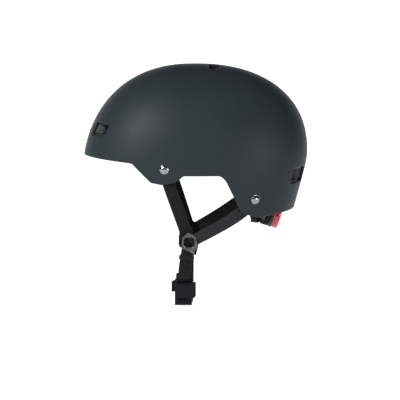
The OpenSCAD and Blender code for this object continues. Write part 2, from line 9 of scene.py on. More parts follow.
import bmesh
import bpy
import numpy as np
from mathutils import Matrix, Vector


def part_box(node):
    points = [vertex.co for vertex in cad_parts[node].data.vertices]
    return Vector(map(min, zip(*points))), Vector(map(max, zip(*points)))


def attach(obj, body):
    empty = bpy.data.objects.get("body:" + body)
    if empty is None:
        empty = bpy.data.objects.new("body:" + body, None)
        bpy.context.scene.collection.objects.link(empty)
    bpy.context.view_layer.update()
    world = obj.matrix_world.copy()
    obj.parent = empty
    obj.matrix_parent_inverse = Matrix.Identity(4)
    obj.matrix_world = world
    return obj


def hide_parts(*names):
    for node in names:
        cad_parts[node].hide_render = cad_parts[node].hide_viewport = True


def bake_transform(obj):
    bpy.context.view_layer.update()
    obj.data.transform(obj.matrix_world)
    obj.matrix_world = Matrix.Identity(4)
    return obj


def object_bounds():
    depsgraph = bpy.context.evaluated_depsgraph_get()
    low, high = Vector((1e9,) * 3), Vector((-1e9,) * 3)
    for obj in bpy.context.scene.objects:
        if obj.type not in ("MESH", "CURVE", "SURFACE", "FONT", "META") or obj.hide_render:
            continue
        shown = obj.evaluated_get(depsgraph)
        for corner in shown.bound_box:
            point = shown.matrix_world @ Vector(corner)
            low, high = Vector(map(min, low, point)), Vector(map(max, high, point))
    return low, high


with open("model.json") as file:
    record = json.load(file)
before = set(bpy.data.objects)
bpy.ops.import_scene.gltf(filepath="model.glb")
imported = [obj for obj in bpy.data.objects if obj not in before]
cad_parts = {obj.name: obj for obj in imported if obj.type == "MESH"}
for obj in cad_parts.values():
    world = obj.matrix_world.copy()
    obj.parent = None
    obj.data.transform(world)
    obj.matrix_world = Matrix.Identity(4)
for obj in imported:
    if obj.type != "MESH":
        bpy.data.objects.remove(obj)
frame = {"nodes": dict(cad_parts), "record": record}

Placer = Callable[[np.ndarray], np.ndarray]
Relief = Callable[[np.ndarray, np.ndarray], np.ndarray]
LOG = logging.getLogger("helmet")
MM = 0.001
CAD_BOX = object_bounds()


# ---- measuring ----------------------------------------------------------------------
def node_box(node: str) -> np.ndarray:
    """Box of a CAD node in millimetres.

    Args:
        node: Name of the node.

    Returns:
        Two rows, the lowest and the highest corner.
    """
    return np.array([tuple(corner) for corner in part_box(node)]) / MM


def joint_of(name: str) -> dict:
    """A joint's entry in the record.

    Args:
        name: Name of the joint.

    Returns:
        The entry, with its place in metres and its axis.
    """
    return next(j for j in frame["record"]["behaviour"]["joints"] if j["name"] == name)


def unit(v: np.ndarray) -> np.ndarray:
    """Vectors of length one along the last axis."""
    return v / np.linalg.norm(v, axis=-1, keepdims=True)


def smoothstep(x: np.ndarray) -> np.ndarray:
    """The S curve 3x^2 - 2x^3 from 0 to 1, flat outside."""
    x = np.clip(x, 0.0, 1.0)
    return x * x * (3.0 - 2.0 * x)


def bezier(points: np.ndarray, t: np.ndarray) -> np.ndarray:
    """Points on a cubic Bezier curve.

    Args:
        points: Four control points.
        t: Parameters from 0 to 1.

    Returns:
        One point for each parameter.
    """
    t = t[:, None]
    return ((1 - t) ** 3 * points[0] + 3 * t * (1 - t) ** 2 * points[1]
            + 3 * t * t * (1 - t) * points[2] + t ** 3 * points[3])


def respace(path: np.ndarray, values: np.ndarray, step: float) -> tuple[np.ndarray, np.ndarray]:
    """A path and what goes with it at even spacing.

    Args:
        path: Points along the path.
        values: One row of numbers for each point.
        step: Distance between the new points.

    Returns:
        The new points and the new rows.
    """
    run = np.concatenate([[0.0], np.cumsum(np.linalg.norm(np.diff(path, axis=0), axis=1))])
    at = np.linspace(0.0, run[-1], max(3, int(round(run[-1] / step)) + 1))
    pick = lambda block: np.stack([np.interp(at, run, column) for column in block.T], axis=1)
    return pick(path), pick(values)


def rounded_corners(corners: np.ndarray, radius: float, steps: int = 9,
                    closed: bool = False) -> np.ndarray:
    """A chain of straight lines with each corner rounded by an arc.

    At a corner with turn angle g the arc starts and ends r tan(g/2) from the corner, and
    is drawn as the circle through both ends that touches the two lines.

    Args:
        corners: Corner points in the plane.
        radius: Radius of the arcs, in one number or one for each corner.
        steps: Points on each arc.
        closed: Whether the last corner joins the first.

    Returns:
        The points of the rounded chain.
    """
    here = corners if closed else corners[1:-1]
    before = np.roll(corners, 1, axis=0) if closed else corners[:-2]
    after = np.roll(corners, -1, axis=0) if closed else corners[2:]
    a, b = unit(before - here), unit(after - here)
    half = 0.5 * np.arccos(np.clip((a * b).sum(1), -1, 1))
    reach = radius / np.tan(half)
    centre = here + unit(a + b) * (radius / np.sin(half))[:, None]
    start = here + a * reach[:, None] - centre
    end = here + b * reach[:, None] - centre
    t = np.linspace(0, 1, steps)[None, :, None]
    arc = unit(start[:, None] * (1 - t) + end[:, None] * t)
    arc = centre[:, None] + arc * np.linalg.norm(start, axis=1)[:, None, None]
    chain = arc.reshape(-1, 2)
    return chain if closed else np.vstack([corners[:1], chain, corners[-1:]])


# ---- meshes -------------------------------------------------------------------------
class MeshMaker:
    """Collects grids of points and turns them into one mesh."""

    def __init__(self) -> None:
        """Starts with nothing in it."""
        self.points: list[np.ndarray] = []
        self.uv: list[np.ndarray] = []
        self.quads: list[np.ndarray] = []
        self.tris: list[np.ndarray] = []
        self.count = 0

    def grid(self, points: np.ndarray, uv: np.ndarray | None = None, wrap_u: bool = False,
             wrap_v: bool = False, cap_start: bool = False, cap_end: bool = False) -> None:
        """Adds a sheet of quads, row by row, with its ends closed if asked.

        The face between (i, j) and its neighbours is (i,j) (i+1,j) (i+1,j+1) (i,j+1).

        Args:
            points: Points as rows, columns, xyz in millimetres.
            uv: Two numbers for each point, or nothing for row and column numbers.
            wrap_u: Whether the last row joins the first.
            wrap_v: Whether the last column joins the first.
            cap_start: Whether the first row is closed with a fan to its middle.
            cap_end: Whether the last row is closed with a fan to its middle.
        """
        rows, cols = points.shape[:2]
        if uv is None:
            uv = np.stack(np.meshgrid(np.arange(rows), np.arange(cols), indexing="ij"), -1)
        ids = self.count + np.arange(rows * cols).reshape(rows, cols)
        if wrap_u:
            ids = np.vstack([ids, ids[:1]])
        if wrap_v:
            ids = np.hstack([ids, ids[:, :1]])
        self.quads.append(np.stack([ids[:-1, :-1], ids[1:, :-1], ids[1:, 1:], ids[:-1, 1:]],
                                   -1).reshape(-1, 4))
        self.points.append(points.reshape(-1, 3))
        self.uv.append(np.asarray(uv, float).reshape(-1, 2))
        self.count += rows * cols
        for row, flip, wanted in ((0, False, cap_start), (-1, True, cap_end)):
            if wanted:
                ring = ids[row] if wrap_v else np.append(ids[row], ids[row][0])
                edge = np.stack([ring[:-1], ring[1:]], 1)
                edge = edge[:, ::-1] if flip else edge
                self.tris.append(np.hstack([edge, np.full((len(edge), 1), self.count)]))
                self.points.append(points[row].mean(0)[None])
                self.uv.append(np.asarray(uv, float)[row].mean(0)[None])
                self.count += 1

    def make(self, name: str, smooth: bool = True, outward: bool = True) -> bpy.types.Object:
        """Makes the object.

        Args:
            name: Name of the object.
            smooth: Whether its faces are shaded smooth.
            outward: Whether its faces are turned to look outward.

        Returns:
            The object, linked to the scene.
        """
        mesh = bpy.data.meshes.new(name)
        points = np.vstack(self.points) * MM
        quads = np.vstack(self.quads) if self.quads else np.zeros((0, 4), int)
        tris = np.vstack(self.tris) if self.tris else np.zeros((0, 3), int)
        loops = np.concatenate([quads.ravel(), tris.ravel()])
        starts = np.concatenate([np.arange(len(quads)) * 4, 4 * len(quads) + np.arange(len(tris)) * 3])
        mesh.vertices.add(len(points))
        mesh.vertices.foreach_set("co", points.ravel())
        mesh.loops.add(len(loops))
        mesh.loops.foreach_set("vertex_index", loops)
        mesh.polygons.add(len(starts))
        mesh.polygons.foreach_set("loop_start", starts)
        layer = mesh.uv_layers.new(name="UVMap")
        layer.data.foreach_set("uv", np.vstack(self.uv)[loops].ravel())
        mesh.update(calc_edges=True)
        mesh.validate()
        work = bmesh.new()
        work.from_mesh(mesh)
        bmesh.ops.remove_doubles(work, verts=work.verts, dist=1e-7)
        if outward:
            bmesh.ops.recalc_face_normals(work, faces=work.faces)
        work.to_mesh(mesh)
        work.free()
        mesh.polygons.foreach_set("use_smooth", np.full(len(mesh.polygons), smooth))
        obj = bpy.data.objects.new(name, mesh)
        bpy.context.scene.collection.objects.link(obj)
        return obj


def apply_modifiers(obj: bpy.types.Object) -> None:
    """Bakes an object's modifiers into its mesh.

    Args:
        obj: The object.
    """
    graph = bpy.context.evaluated_depsgraph_get()
    mesh = bpy.data.meshes.new_from_object(obj.evaluated_get(graph), depsgraph=graph)
    obj.modifiers.clear()
    old, obj.data = obj.data, mesh
    if old.users == 0:
        bpy.data.meshes.remove(old)


def cut_away(obj: bpy.types.Object, cutter: bpy.types.Object) -> None:
    """Takes one solid out of another and removes the cutter.

    Args:
        obj: The solid that is cut.
        cutter: The solid that is taken away.
    """
    step = obj.modifiers.new("cut", "BOOLEAN")
    step.operation, step.object, step.solver = "DIFFERENCE", cutter, "MANIFOLD"
    bpy.context.view_layer.update()
    apply_modifiers(obj)
    bpy.data.objects.remove(cutter)


def softened(node: str, width: float, segments: int = 3, angle: float = 32.0) -> bpy.types.Object:
    """A copy of a CAD node with its edges rounded.

    Args:
        node: Name of the node.
        width: Width of the rounding in millimetres.
        segments: Faces across each rounding.
        angle: Edges that turn more than this many degrees are rounded.

    Returns:
        The new object, which stands for the node.
    """
    source = frame["nodes"][node]
    mesh = source.data.copy()
    mesh.materials.clear()
    mesh.transform(source.matrix_world)
    work = bmesh.new()
    work.from_mesh(mesh)
    bmesh.ops.remove_doubles(work, verts=work.verts, dist=2e-6)
    bmesh.ops.dissolve_limit(work, angle_limit=math.radians(1.0), verts=work.verts, edges=work.edges)
    bmesh.ops.recalc_face_normals(work, faces=work.faces)
    work.to_mesh(mesh)
    work.free()
    obj = bpy.data.objects.new(node + "_form", mesh)
    bpy.context.scene.collection.objects.link(obj)
    bevel = obj.modifiers.new("soft_edges", "BEVEL")
    bevel.width, bevel.segments = width * MM, segments
    bevel.limit_method, bevel.angle_limit = "ANGLE", math.radians(angle)
    bevel.use_clamp_overlap = True
    bevel.harden_normals = False
    bpy.context.view_layer.update()
    apply_modifiers(obj)
    obj.data.polygons.foreach_set("use_smooth", np.full(len(obj.data.polygons), True))
    flat = obj.modifiers.new("flat_faces", "WEIGHTED_NORMAL")
    flat.keep_sharp = True
    bpy.context.view_layer.update()
    apply_modifiers(obj)
    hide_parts(node)
    return obj


def rounded_box(size: tuple[float, float], radius: float, middle: tuple[float, float]) -> np.ndarray:
    """A rectangle with rounded corners.

    Args:
        size: Width and height.
        radius: Radius of the corners.
        middle: Its middle.

    Returns:
        Closed outline.
    """
    half = np.array(size) / 2
    corners = np.array([[1, 1], [-1, 1], [-1, -1], [1, -1]]) * half + middle
    return rounded_corners(corners, radius, 12, closed=True)


def ring_plate(maker: MeshMaker, outer: np.ndarray, inner: np.ndarray, middle: tuple[float, float],
               low: float, high: float, edge: float, crown: float, place: Placer) -> None:
    """Adds a plate with one hole, all its edges rounded and its face a little crowned.

    Both outlines are read as a distance from the hole's middle at each of many angles.
    The section at an angle runs out along the back, round the outer edge, in over the
    face and round the hole's edge.

    Args:
        maker: Collects the grid.
        outer: Closed outer outline.
        inner: Closed outline of the hole.
        middle: A place inside the hole from which both outlines are seen whole.
        low: Level of the back.
        high: Level of the face.
        edge: Radius of the rounded edges.
        crown: Extra height in the middle of the face.
        place: Turns the plate's own x, y and height into the helmet's frame.
    """
    turn = np.linspace(-math.pi, math.pi, 240, endpoint=False)

    def distance(outline: np.ndarray) -> np.ndarray:
        """Distance from the middle to an outline at each angle.

        Args:
            outline: Closed outline.

        Returns:
            A distance for each angle.
        """
        fine = np.vstack([outline, outline[:1]])
        fine = respace(fine, fine, 0.15)[0][:-1] - middle
        return np.interp(turn, np.arctan2(fine[:, 1], fine[:, 0]), np.hypot(fine[:, 0], fine[:, 1]),
                         period=2 * math.pi)

    far, near = distance(outer), distance(inner)
    f = np.linspace(0, 0.5 * math.pi, 5)
    s, c = edge * np.sin(f), edge * np.cos(f)
    zero = np.zeros(5)
    back_out = np.stack([np.ones(5), -edge + s, low + edge - c], 1)
    face_out = np.stack([np.ones(5), -edge + c, high - edge + s], 1)
    top = np.stack([np.array([0.75, 0.5, 0.25]), np.zeros(3), high + crown * np.array([0.75, 1, 0.75])], 1)
    face_in = np.stack([zero, edge - c[::-1], high - edge + s[::-1]], 1)
    back_in = np.stack([zero, edge - s[::-1], low + edge - c[::-1]], 1)
    section = np.vstack([back_out, face_out, top, face_in, back_in])
    radius = near[None] + (far - near)[None] * section[:, 0:1] + section[:, 1:2]
    flat = np.stack([middle[0] + radius * np.cos(turn), middle[1] + radius * np.sin(turn),
                     np.broadcast_to(section[:, 2:3], radius.shape)], -1)
    maker.grid(place(flat), wrap_u=True, wrap_v=True)


def relief_plate(maker: MeshMaker, left: np.ndarray, right: np.ndarray, y: np.ndarray, low: float,
                 high: float, edge: float, relief: Relief, place: Placer) -> None:
    """Adds a solid plate whose face carries fine relief.

    The section at each height runs across the face and back along the flat rear. Within
    the edge radius r of a border, at distance d, the face drops by r - sqrt(r^2 - (r-d)^2).

    Args:
        maker: Collects the grid.
        left: Left border at each height.
        right: Right border at each height.
        y: Rising heights.
        low: Level of the back.
        high: Level of the face.
        edge: Radius of the rounded edges.
        relief: Gives the extra height of the face at x and y.
        place: Turns the plate's own x, y and height into the helmet's frame.
    """
    share = 0.5 - 0.5 * np.cos(np.linspace(0, math.pi, 61))
    share = 0.5 * share + 0.5 * np.linspace(0, 1, 61)
    x = left[:, None] + (right - left)[:, None] * share[None]
    yy = np.broadcast_to(y[:, None], x.shape)
    near = np.minimum(np.minimum(x - left[:, None], right[:, None] - x),
                      np.minimum(yy - y[0], y[-1] - yy))
    short = np.clip(edge - near, 0, edge)
    face = high + relief(x, yy) * smoothstep(near / edge) - (edge - np.sqrt(edge ** 2 - short ** 2))
    front = np.stack([x, yy, face], -1)
    back = np.stack([x, yy, np.full_like(x, low)], -1)[:, ::-1]
    maker.grid(place(np.concatenate([front, back], 1)), wrap_v=True, cap_start=True, cap_end=True)


def fine_rows(low: float, high: float, step: float, edge: float) -> np.ndarray:
    """Heights at even steps, with more of them inside both edges."""
    near = edge * (1 - np.cos(np.linspace(0, 0.5 * math.pi, 6)))
    return np.unique(np.round(np.concatenate([low + near, np.arange(low + edge, high - edge, step),
                                              high - near]), 4))


def ridge(value: np.ndarray, at: float, width: float, height: float) -> np.ndarray:
    """A rounded ridge: height times exp(-((v - at) / width)^2)."""
    return height * np.exp(-((value - at) / width) ** 2)


# ---- finishes -----------------------------------------------------------------------
class Surface(Enum):
    """The kinds of surface that the helmet's pieces have."""

    MOULDED = "moulded"
    GLOSS = "gloss"
    METAL = "metal"
    WEBBING = "webbing"
    KNIT = "knit"
    FOAM = "foam"
    RUBBER = "rubber"
    PAPER = "paper"


@dataclass(frozen=True)
class Finish:
    """One finish and the numbers that tell it from the others.

    Attributes:
        name: Name of the material.
        surface: Kind of surface.
        colour: Base colour, linear red, green and blue.
        roughness: Middle roughness.
        spread: How far the roughness wanders either way.
        tint: Share by which the colour wanders; on webbing and foam this is the depth of a painted shade that
            darkens the grooves between ribs and between beads.
        grain: Size of the surface's grain in millimetres.
        relief: Depth of the grain in millimetres.
        coat: Strength of a clear coat.
        sheen: Strength of the fibre sheen.
        shine: Specular level of the surface.
        glow: Strength of its own light, for the floor.
    """

    name: str
    surface: Surface
    colour: tuple[float, float, float]
    roughness: float = 0.5
    spread: float = 0.06
    tint: float = 0.12
    grain: float = 0.6
    relief: float = 0.02
    coat: float = 0.0
    sheen: float = 0.0
    shine: float = 0.5
    glow: float = 0.0


FINISHES = {f.name: f for f in (
    Finish("shell_slate", Surface.MOULDED, (0.0172, 0.0228, 0.0256), 0.50, 0.05, 0.10, 0.55, 0.012,
           shine=0.16),
    # Foam tint 0.7 paints shade in the creases between beads and highlight on their tops.
    Finish("eps_black", Surface.FOAM, (0.012, 0.012, 0.0125), 0.50, 0.08, 0.7, 2.6, 0.35),
    Finish("chrome_dome", Surface.METAL, (0.27, 0.28, 0.29), 0.17, 0.04, 0.03, 2.0, 0.002),
    Finish("plain_steel", Surface.METAL, (0.45, 0.45, 0.46), 0.34, 0.08, 0.08, 0.8, 0.01),
    # Webbing tint 0.95 paints shade and highlight along the ribs: dark in the grooves, light on the crests.
    Finish("webbing_black", Surface.WEBBING, (0.0110, 0.0115, 0.0125), 0.55, 0.08, 0.95, 1.0,
           0.22, sheen=0.01, shine=0.14),
    Finish("webbing_grey", Surface.WEBBING, (0.0180, 0.0188, 0.0205), 0.50, 0.08, 0.95, 1.0,
           0.22, sheen=0.02, shine=0.25),
    Finish("pad_knit", Surface.KNIT, (0.010, 0.010, 0.011), 0.85, 0.06, 0.3, 1.1, 0.10, 0.0, 0.2),
    Finish("clip_black", Surface.MOULDED, (0.0028, 0.0030, 0.0037), 0.32, 0.05, 0.10, 0.5, 0.012,
           0.10, shine=0.12),
    Finish("clip_slate", Surface.MOULDED, (0.0030, 0.0033, 0.0050), 0.30, 0.05, 0.10, 0.5, 0.012,
           0.10, shine=0.12),
    # Same dark plastic as the divider, given a lighter base: partly the flap's own dark grey, partly a
    # painted highlight for the light on the ring's top bevel.
    Finish("flap_satin_painted_highlight", Surface.MOULDED, (0.030, 0.031, 0.034), 0.22, 0.05, 0.10, 0.5, 0.012,
           0.7, shine=0.5),
    Finish("band_black", Surface.MOULDED, (0.006, 0.006, 0.0065), 0.48, 0.06, 0.12, 0.7, 0.02,
           shine=0.25),
    Finish("keeper_rubber", Surface.RUBBER, (0.006, 0.006, 0.006), 0.72, 0.06, 0.2, 0.5, 0.02,
           shine=0.25),
    Finish("cap_red", Surface.GLOSS, (0.52, 0.008, 0.022), 0.14, 0.03, 0.08, 6.0, 0.006, 0.9),
    Finish("knob_black", Surface.GLOSS, (0.006, 0.006, 0.0065), 0.26, 0.04, 0.10, 1.0, 0.008, 0.3),
    Finish("ring_rose", Surface.GLOSS, (0.55, 0.20, 0.21), 0.28, 0.04, 0.06, 1.0, 0.004, 0.3),
    Finish("nylon_white", Surface.MOULDED, (0.55, 0.55, 0.52), 0.42, 0.05, 0.05, 0.8, 0.01),
    Finish("floor_pale", Surface.PAPER, (0.42, 0.42, 0.425), 0.80, 0.04, 0.01, 40.0, 0.02,
           shine=0.1, glow=0.92),
)}


class Dresser:
    """Makes each finish's material once and puts it on pieces."""

    def __init__(self) -> None:
        """Starts with no materials made."""
        self.made: dict[str, bpy.types.Material] = {}

    def dress(self, obj: bpy.types.Object, finish: str) -> None:
        """Puts a finish on a piece.

        Args:
            obj: The piece.
            finish: Name of the finish.
        """
        obj.data.materials.clear()
        obj.data.materials.append(self.material(finish))

    def material(self, name: str) -> bpy.types.Material:
        """The material of a finish.

        Args:
            name: Name of the finish.

        Returns:
            The material, made on its first use.
        """
        if name not in self.made:
            self.made[name] = self._make(FINISHES[name])
        return self.made[name]

    def _make(self, f: Finish) -> bpy.types.Material:
        """Builds a finish's node tree.

        Args:
            f: The finish.

        Returns:
            The new material.
        """
        mat = bpy.data.materials.new(f.name)
        mat.use_nodes = True
        self.tree = mat.node_tree
        shader = self.tree.nodes["Principled BSDF"]
        shader.inputs["Metallic"].default_value = 1.0 if f.surface is Surface.METAL else 0.0
        shader.inputs["Coat Weight"].default_value = f.coat
        shader.inputs["Coat Roughness"].default_value = 0.08
        shader.inputs["Sheen Weight"].default_value = f.sheen
        shader.inputs["Sheen Roughness"].default_value = 0.45
        shader.inputs["IOR"].default_value = 1.40
        shader.inputs["Specular IOR Level"].default_value = f.shine
        shader.inputs["Emission Strength"].default_value = f.glow
        shader.inputs["Emission Color"].default_value = (1.0, 1.0, 1.0, 1.0)
        where = self._node("ShaderNodeTexCoord").outputs["Object"]
        broad = self._noise(where, 28.0, 3.0)
        fine = self._noise(where, 1.0 / (f.grain * MM), 4.0)
        if f.surface is Surface.WEBBING:
            height, shade = self._weave(fine)
        elif f.surface is Surface.KNIT:
            height, shade = self._knit(where, f, fine)
        elif f.surface is Surface.FOAM:
            height, shade = self._beads(where, f, fine)
        else:
            height, shade = fine, broad
        # On webbing the colour follows the weave alone, elsewhere the mean of broad random tone and the
        # surface's pattern; the webbing's rib pattern and the foam's bead pattern are painted shade, dark in
        # their grooves and light on their tops.
        blend = self._mean(broad, shade) if f.surface is not Surface.WEBBING else shade
        mix = self._math("MULTIPLY_ADD", blend, 2.0 * f.tint, 1.0 - f.tint)
        colour = self._node("ShaderNodeMix", data_type="RGBA", blend_type="MULTIPLY")
        colour.inputs[0].default_value = 1.0
        colour.inputs[6].default_value = (*f.colour, 1.0)
        self.tree.links.new(mix, colour.inputs[7])
        self.tree.links.new(colour.outputs[2], shader.inputs["Base Color"])
        rough = self._math("MULTIPLY_ADD", self._mean(broad, fine), 2.0 * f.spread,
                           f.roughness - f.spread)
        self.tree.links.new(rough, shader.inputs["Roughness"])
        bump = self._node("ShaderNodeBump")
        bump.inputs["Distance"].default_value = f.relief * MM
        bump.inputs["Strength"].default_value = 0.8
        self.tree.links.new(height, bump.inputs["Height"])
        self.tree.links.new(bump.outputs["Normal"], shader.inputs["Normal"])
        return mat

    def _node(self, kind: str, **settings: object) -> bpy.types.Node:
        """Adds a node.

        Args:
            kind: Type of the node.
            settings: Values of its properties.

        Returns:
            The node.
        """
        node = self.tree.nodes.new(kind)
        for key, value in settings.items():
            setattr(node, key, value)
        return node

    def _put(self, socket: bpy.types.NodeSocket, value: object) -> None:
        """Links or sets one input.

        Args:
            socket: The input.
            value: A socket to link to it, or a constant.
        """
        if isinstance(value, bpy.types.NodeSocket):
            self.tree.links.new(value, socket)
        else:
            socket.default_value = value

    def _math(self, operation: str, *values: object) -> bpy.types.NodeSocket:
        """Adds a Math node.

        Args:
            operation: What it works out.
            values: Numbers or sockets.

        Returns:
            Its result.
        """
        node = self._node("ShaderNodeMath", operation=operation)
        for socket, value in zip(node.inputs, values):
            self._put(socket, value)
        return node.outputs[0]

    def _mean(self, a: bpy.types.NodeSocket, b: bpy.types.NodeSocket) -> bpy.types.NodeSocket:
        """Half the sum of two sockets."""
        return self._math("MULTIPLY", self._math("ADD", a, b), 0.5)

    def _noise(self, where: bpy.types.NodeSocket, scale: float, detail: float) -> bpy.types.NodeSocket:
        """Adds noise that runs from 0 to 1.

        Args:
            where: Place that the noise is read at.
            scale: Cycles a metre.
            detail: Number of finer layers.

        Returns:
            The noise.
        """
        node = self._node("ShaderNodeTexNoise")
        self._put(node.inputs["Vector"], where)
        node.inputs["Scale"].default_value = scale
        node.inputs["Detail"].default_value = detail
        return node.outputs[0]

    def _weave(self, fine: bpy.types.NodeSocket) -> tuple[bpy.types.NodeSocket, bpy.types.NodeSocket]:
        """Yarns of woven webbing, laid out along the piece's own UV in millimetres.

        Crosswise ribs follow the webbing's own ribs as half of 1 + sin(2 pi u / rib). Fine
        warp yarns lie every 0.6 mm across, and step half a yarn on from rib to rib.

        Args:
            fine: Noise of the yarn's fibres.

        Returns:
            Height, and a painted shade that is dark in the grooves between ribs and between yarns and light
            on the rib crests, where light falls.
        """
        uv = self._node("ShaderNodeSeparateXYZ")
        self._put(uv.inputs[0], self._node("ShaderNodeUVMap", uv_map="UVMap").outputs[0])
        rib = self._math("SINE", self._math("MULTIPLY", uv.outputs[0], 2.0 * math.pi / Webbing.rib))
        rib = self._math("MULTIPLY_ADD", rib, 0.5, 0.5)
        lean = self._math("MULTIPLY_ADD", uv.outputs[1], math.pi / 0.6,
                          self._math("MULTIPLY", uv.outputs[0], math.pi / Webbing.rib))
        warp = self._math("ABSOLUTE", self._math("SINE", lean))
        height = self._math("MULTIPLY_ADD", fine, 0.3, self._math("MULTIPLY", warp, rib))
        # Painted shade and highlight: the colour darkens in the rib troughs and between warp yarns and
        # lightens on the rib crests, in step with the ribs of the geometry.
        shade = self._math("MULTIPLY", self._math("POWER", rib, 1.6),
                           self._math("MULTIPLY_ADD", warp, 0.5, 0.5))
        return height, shade

    def _knit(self, where: bpy.types.NodeSocket, f: Finish,
              fine: bpy.types.NodeSocket) -> tuple[bpy.types.NodeSocket, bpy.types.NodeSocket]:
        """Rows of small loops, as bands one way broken by bands another way.

        Args:
            where: Place on the piece.
            f: The finish.
            fine: Noise of the yarn's fibres.

        Returns:
            Height and shade.
        """
        pair = []
        for direction in ("X", "DIAGONAL"):
            wave = self._node("ShaderNodeTexWave", bands_direction=direction)
            self._put(wave.inputs["Vector"], where)
            wave.inputs["Scale"].default_value = 1.0 / (3.2 * f.grain * MM)
            wave.inputs["Distortion"].default_value = 0.6
            pair.append(wave.outputs[1])
        loops = self._math("MULTIPLY", pair[0], pair[1])
        return self._math("MULTIPLY_ADD", fine, 0.4, loops), loops

    def _beads(self, where: bpy.types.NodeSocket, f: Finish,
               fine: bpy.types.NodeSocket) -> tuple[bpy.types.NodeSocket, bpy.types.NodeSocket]:
        """Foam beads pressed together, each a cell that is high in its middle.

        Args:
            where: Place on the piece.
            f: The finish.
            fine: Noise of the beads' skin.

        Returns:
            Height and shade.
        """
        cells = self._node("ShaderNodeTexVoronoi", feature="DISTANCE_TO_EDGE")
        self._put(cells.inputs["Vector"], where)
        cells.inputs["Scale"].default_value = 1.0 / (f.grain * MM)
        rise = self._math("SMOOTH_MIN", cells.outputs["Distance"], 0.18, 0.1)
        bead = self._math("MULTIPLY", rise, 5.0)
        # The bead height also sets the colour: painted shade in the creases between beads, painted highlight
        # on their tops.
        return self._math("MULTIPLY_ADD", fine, 0.15, bead), bead


DRESSER = Dresser()
REPORT: list[str] = []


def settle(obj: bpy.types.Object, finish: str, body: str = "",
           bend: tuple | None = None, stands_for: tuple[str, ...] = ()) -> bpy.types.Object:
    """Dresses a piece and fixes it to the helmet.

    Args:
        obj: The piece.
        finish: Name of its finish.
        body: Body that it rides on.
        bend: Two bodies and two places; if given, the piece is baked where it stands and fixed to no body,
            and the bodies and places themselves are not read.
        stands_for: CAD nodes that it replaces.

    Returns:
        The piece.
    """
    DRESSER.dress(obj, finish)
    if stands_for:
        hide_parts(*stands_for)
    if bend:
        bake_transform(obj)
    else:
        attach(obj, body)
    REPORT.append(obj.name)
    LOG.info("%s: %d faces, %s", obj.name, len(obj.data.polygons), finish)
    return obj


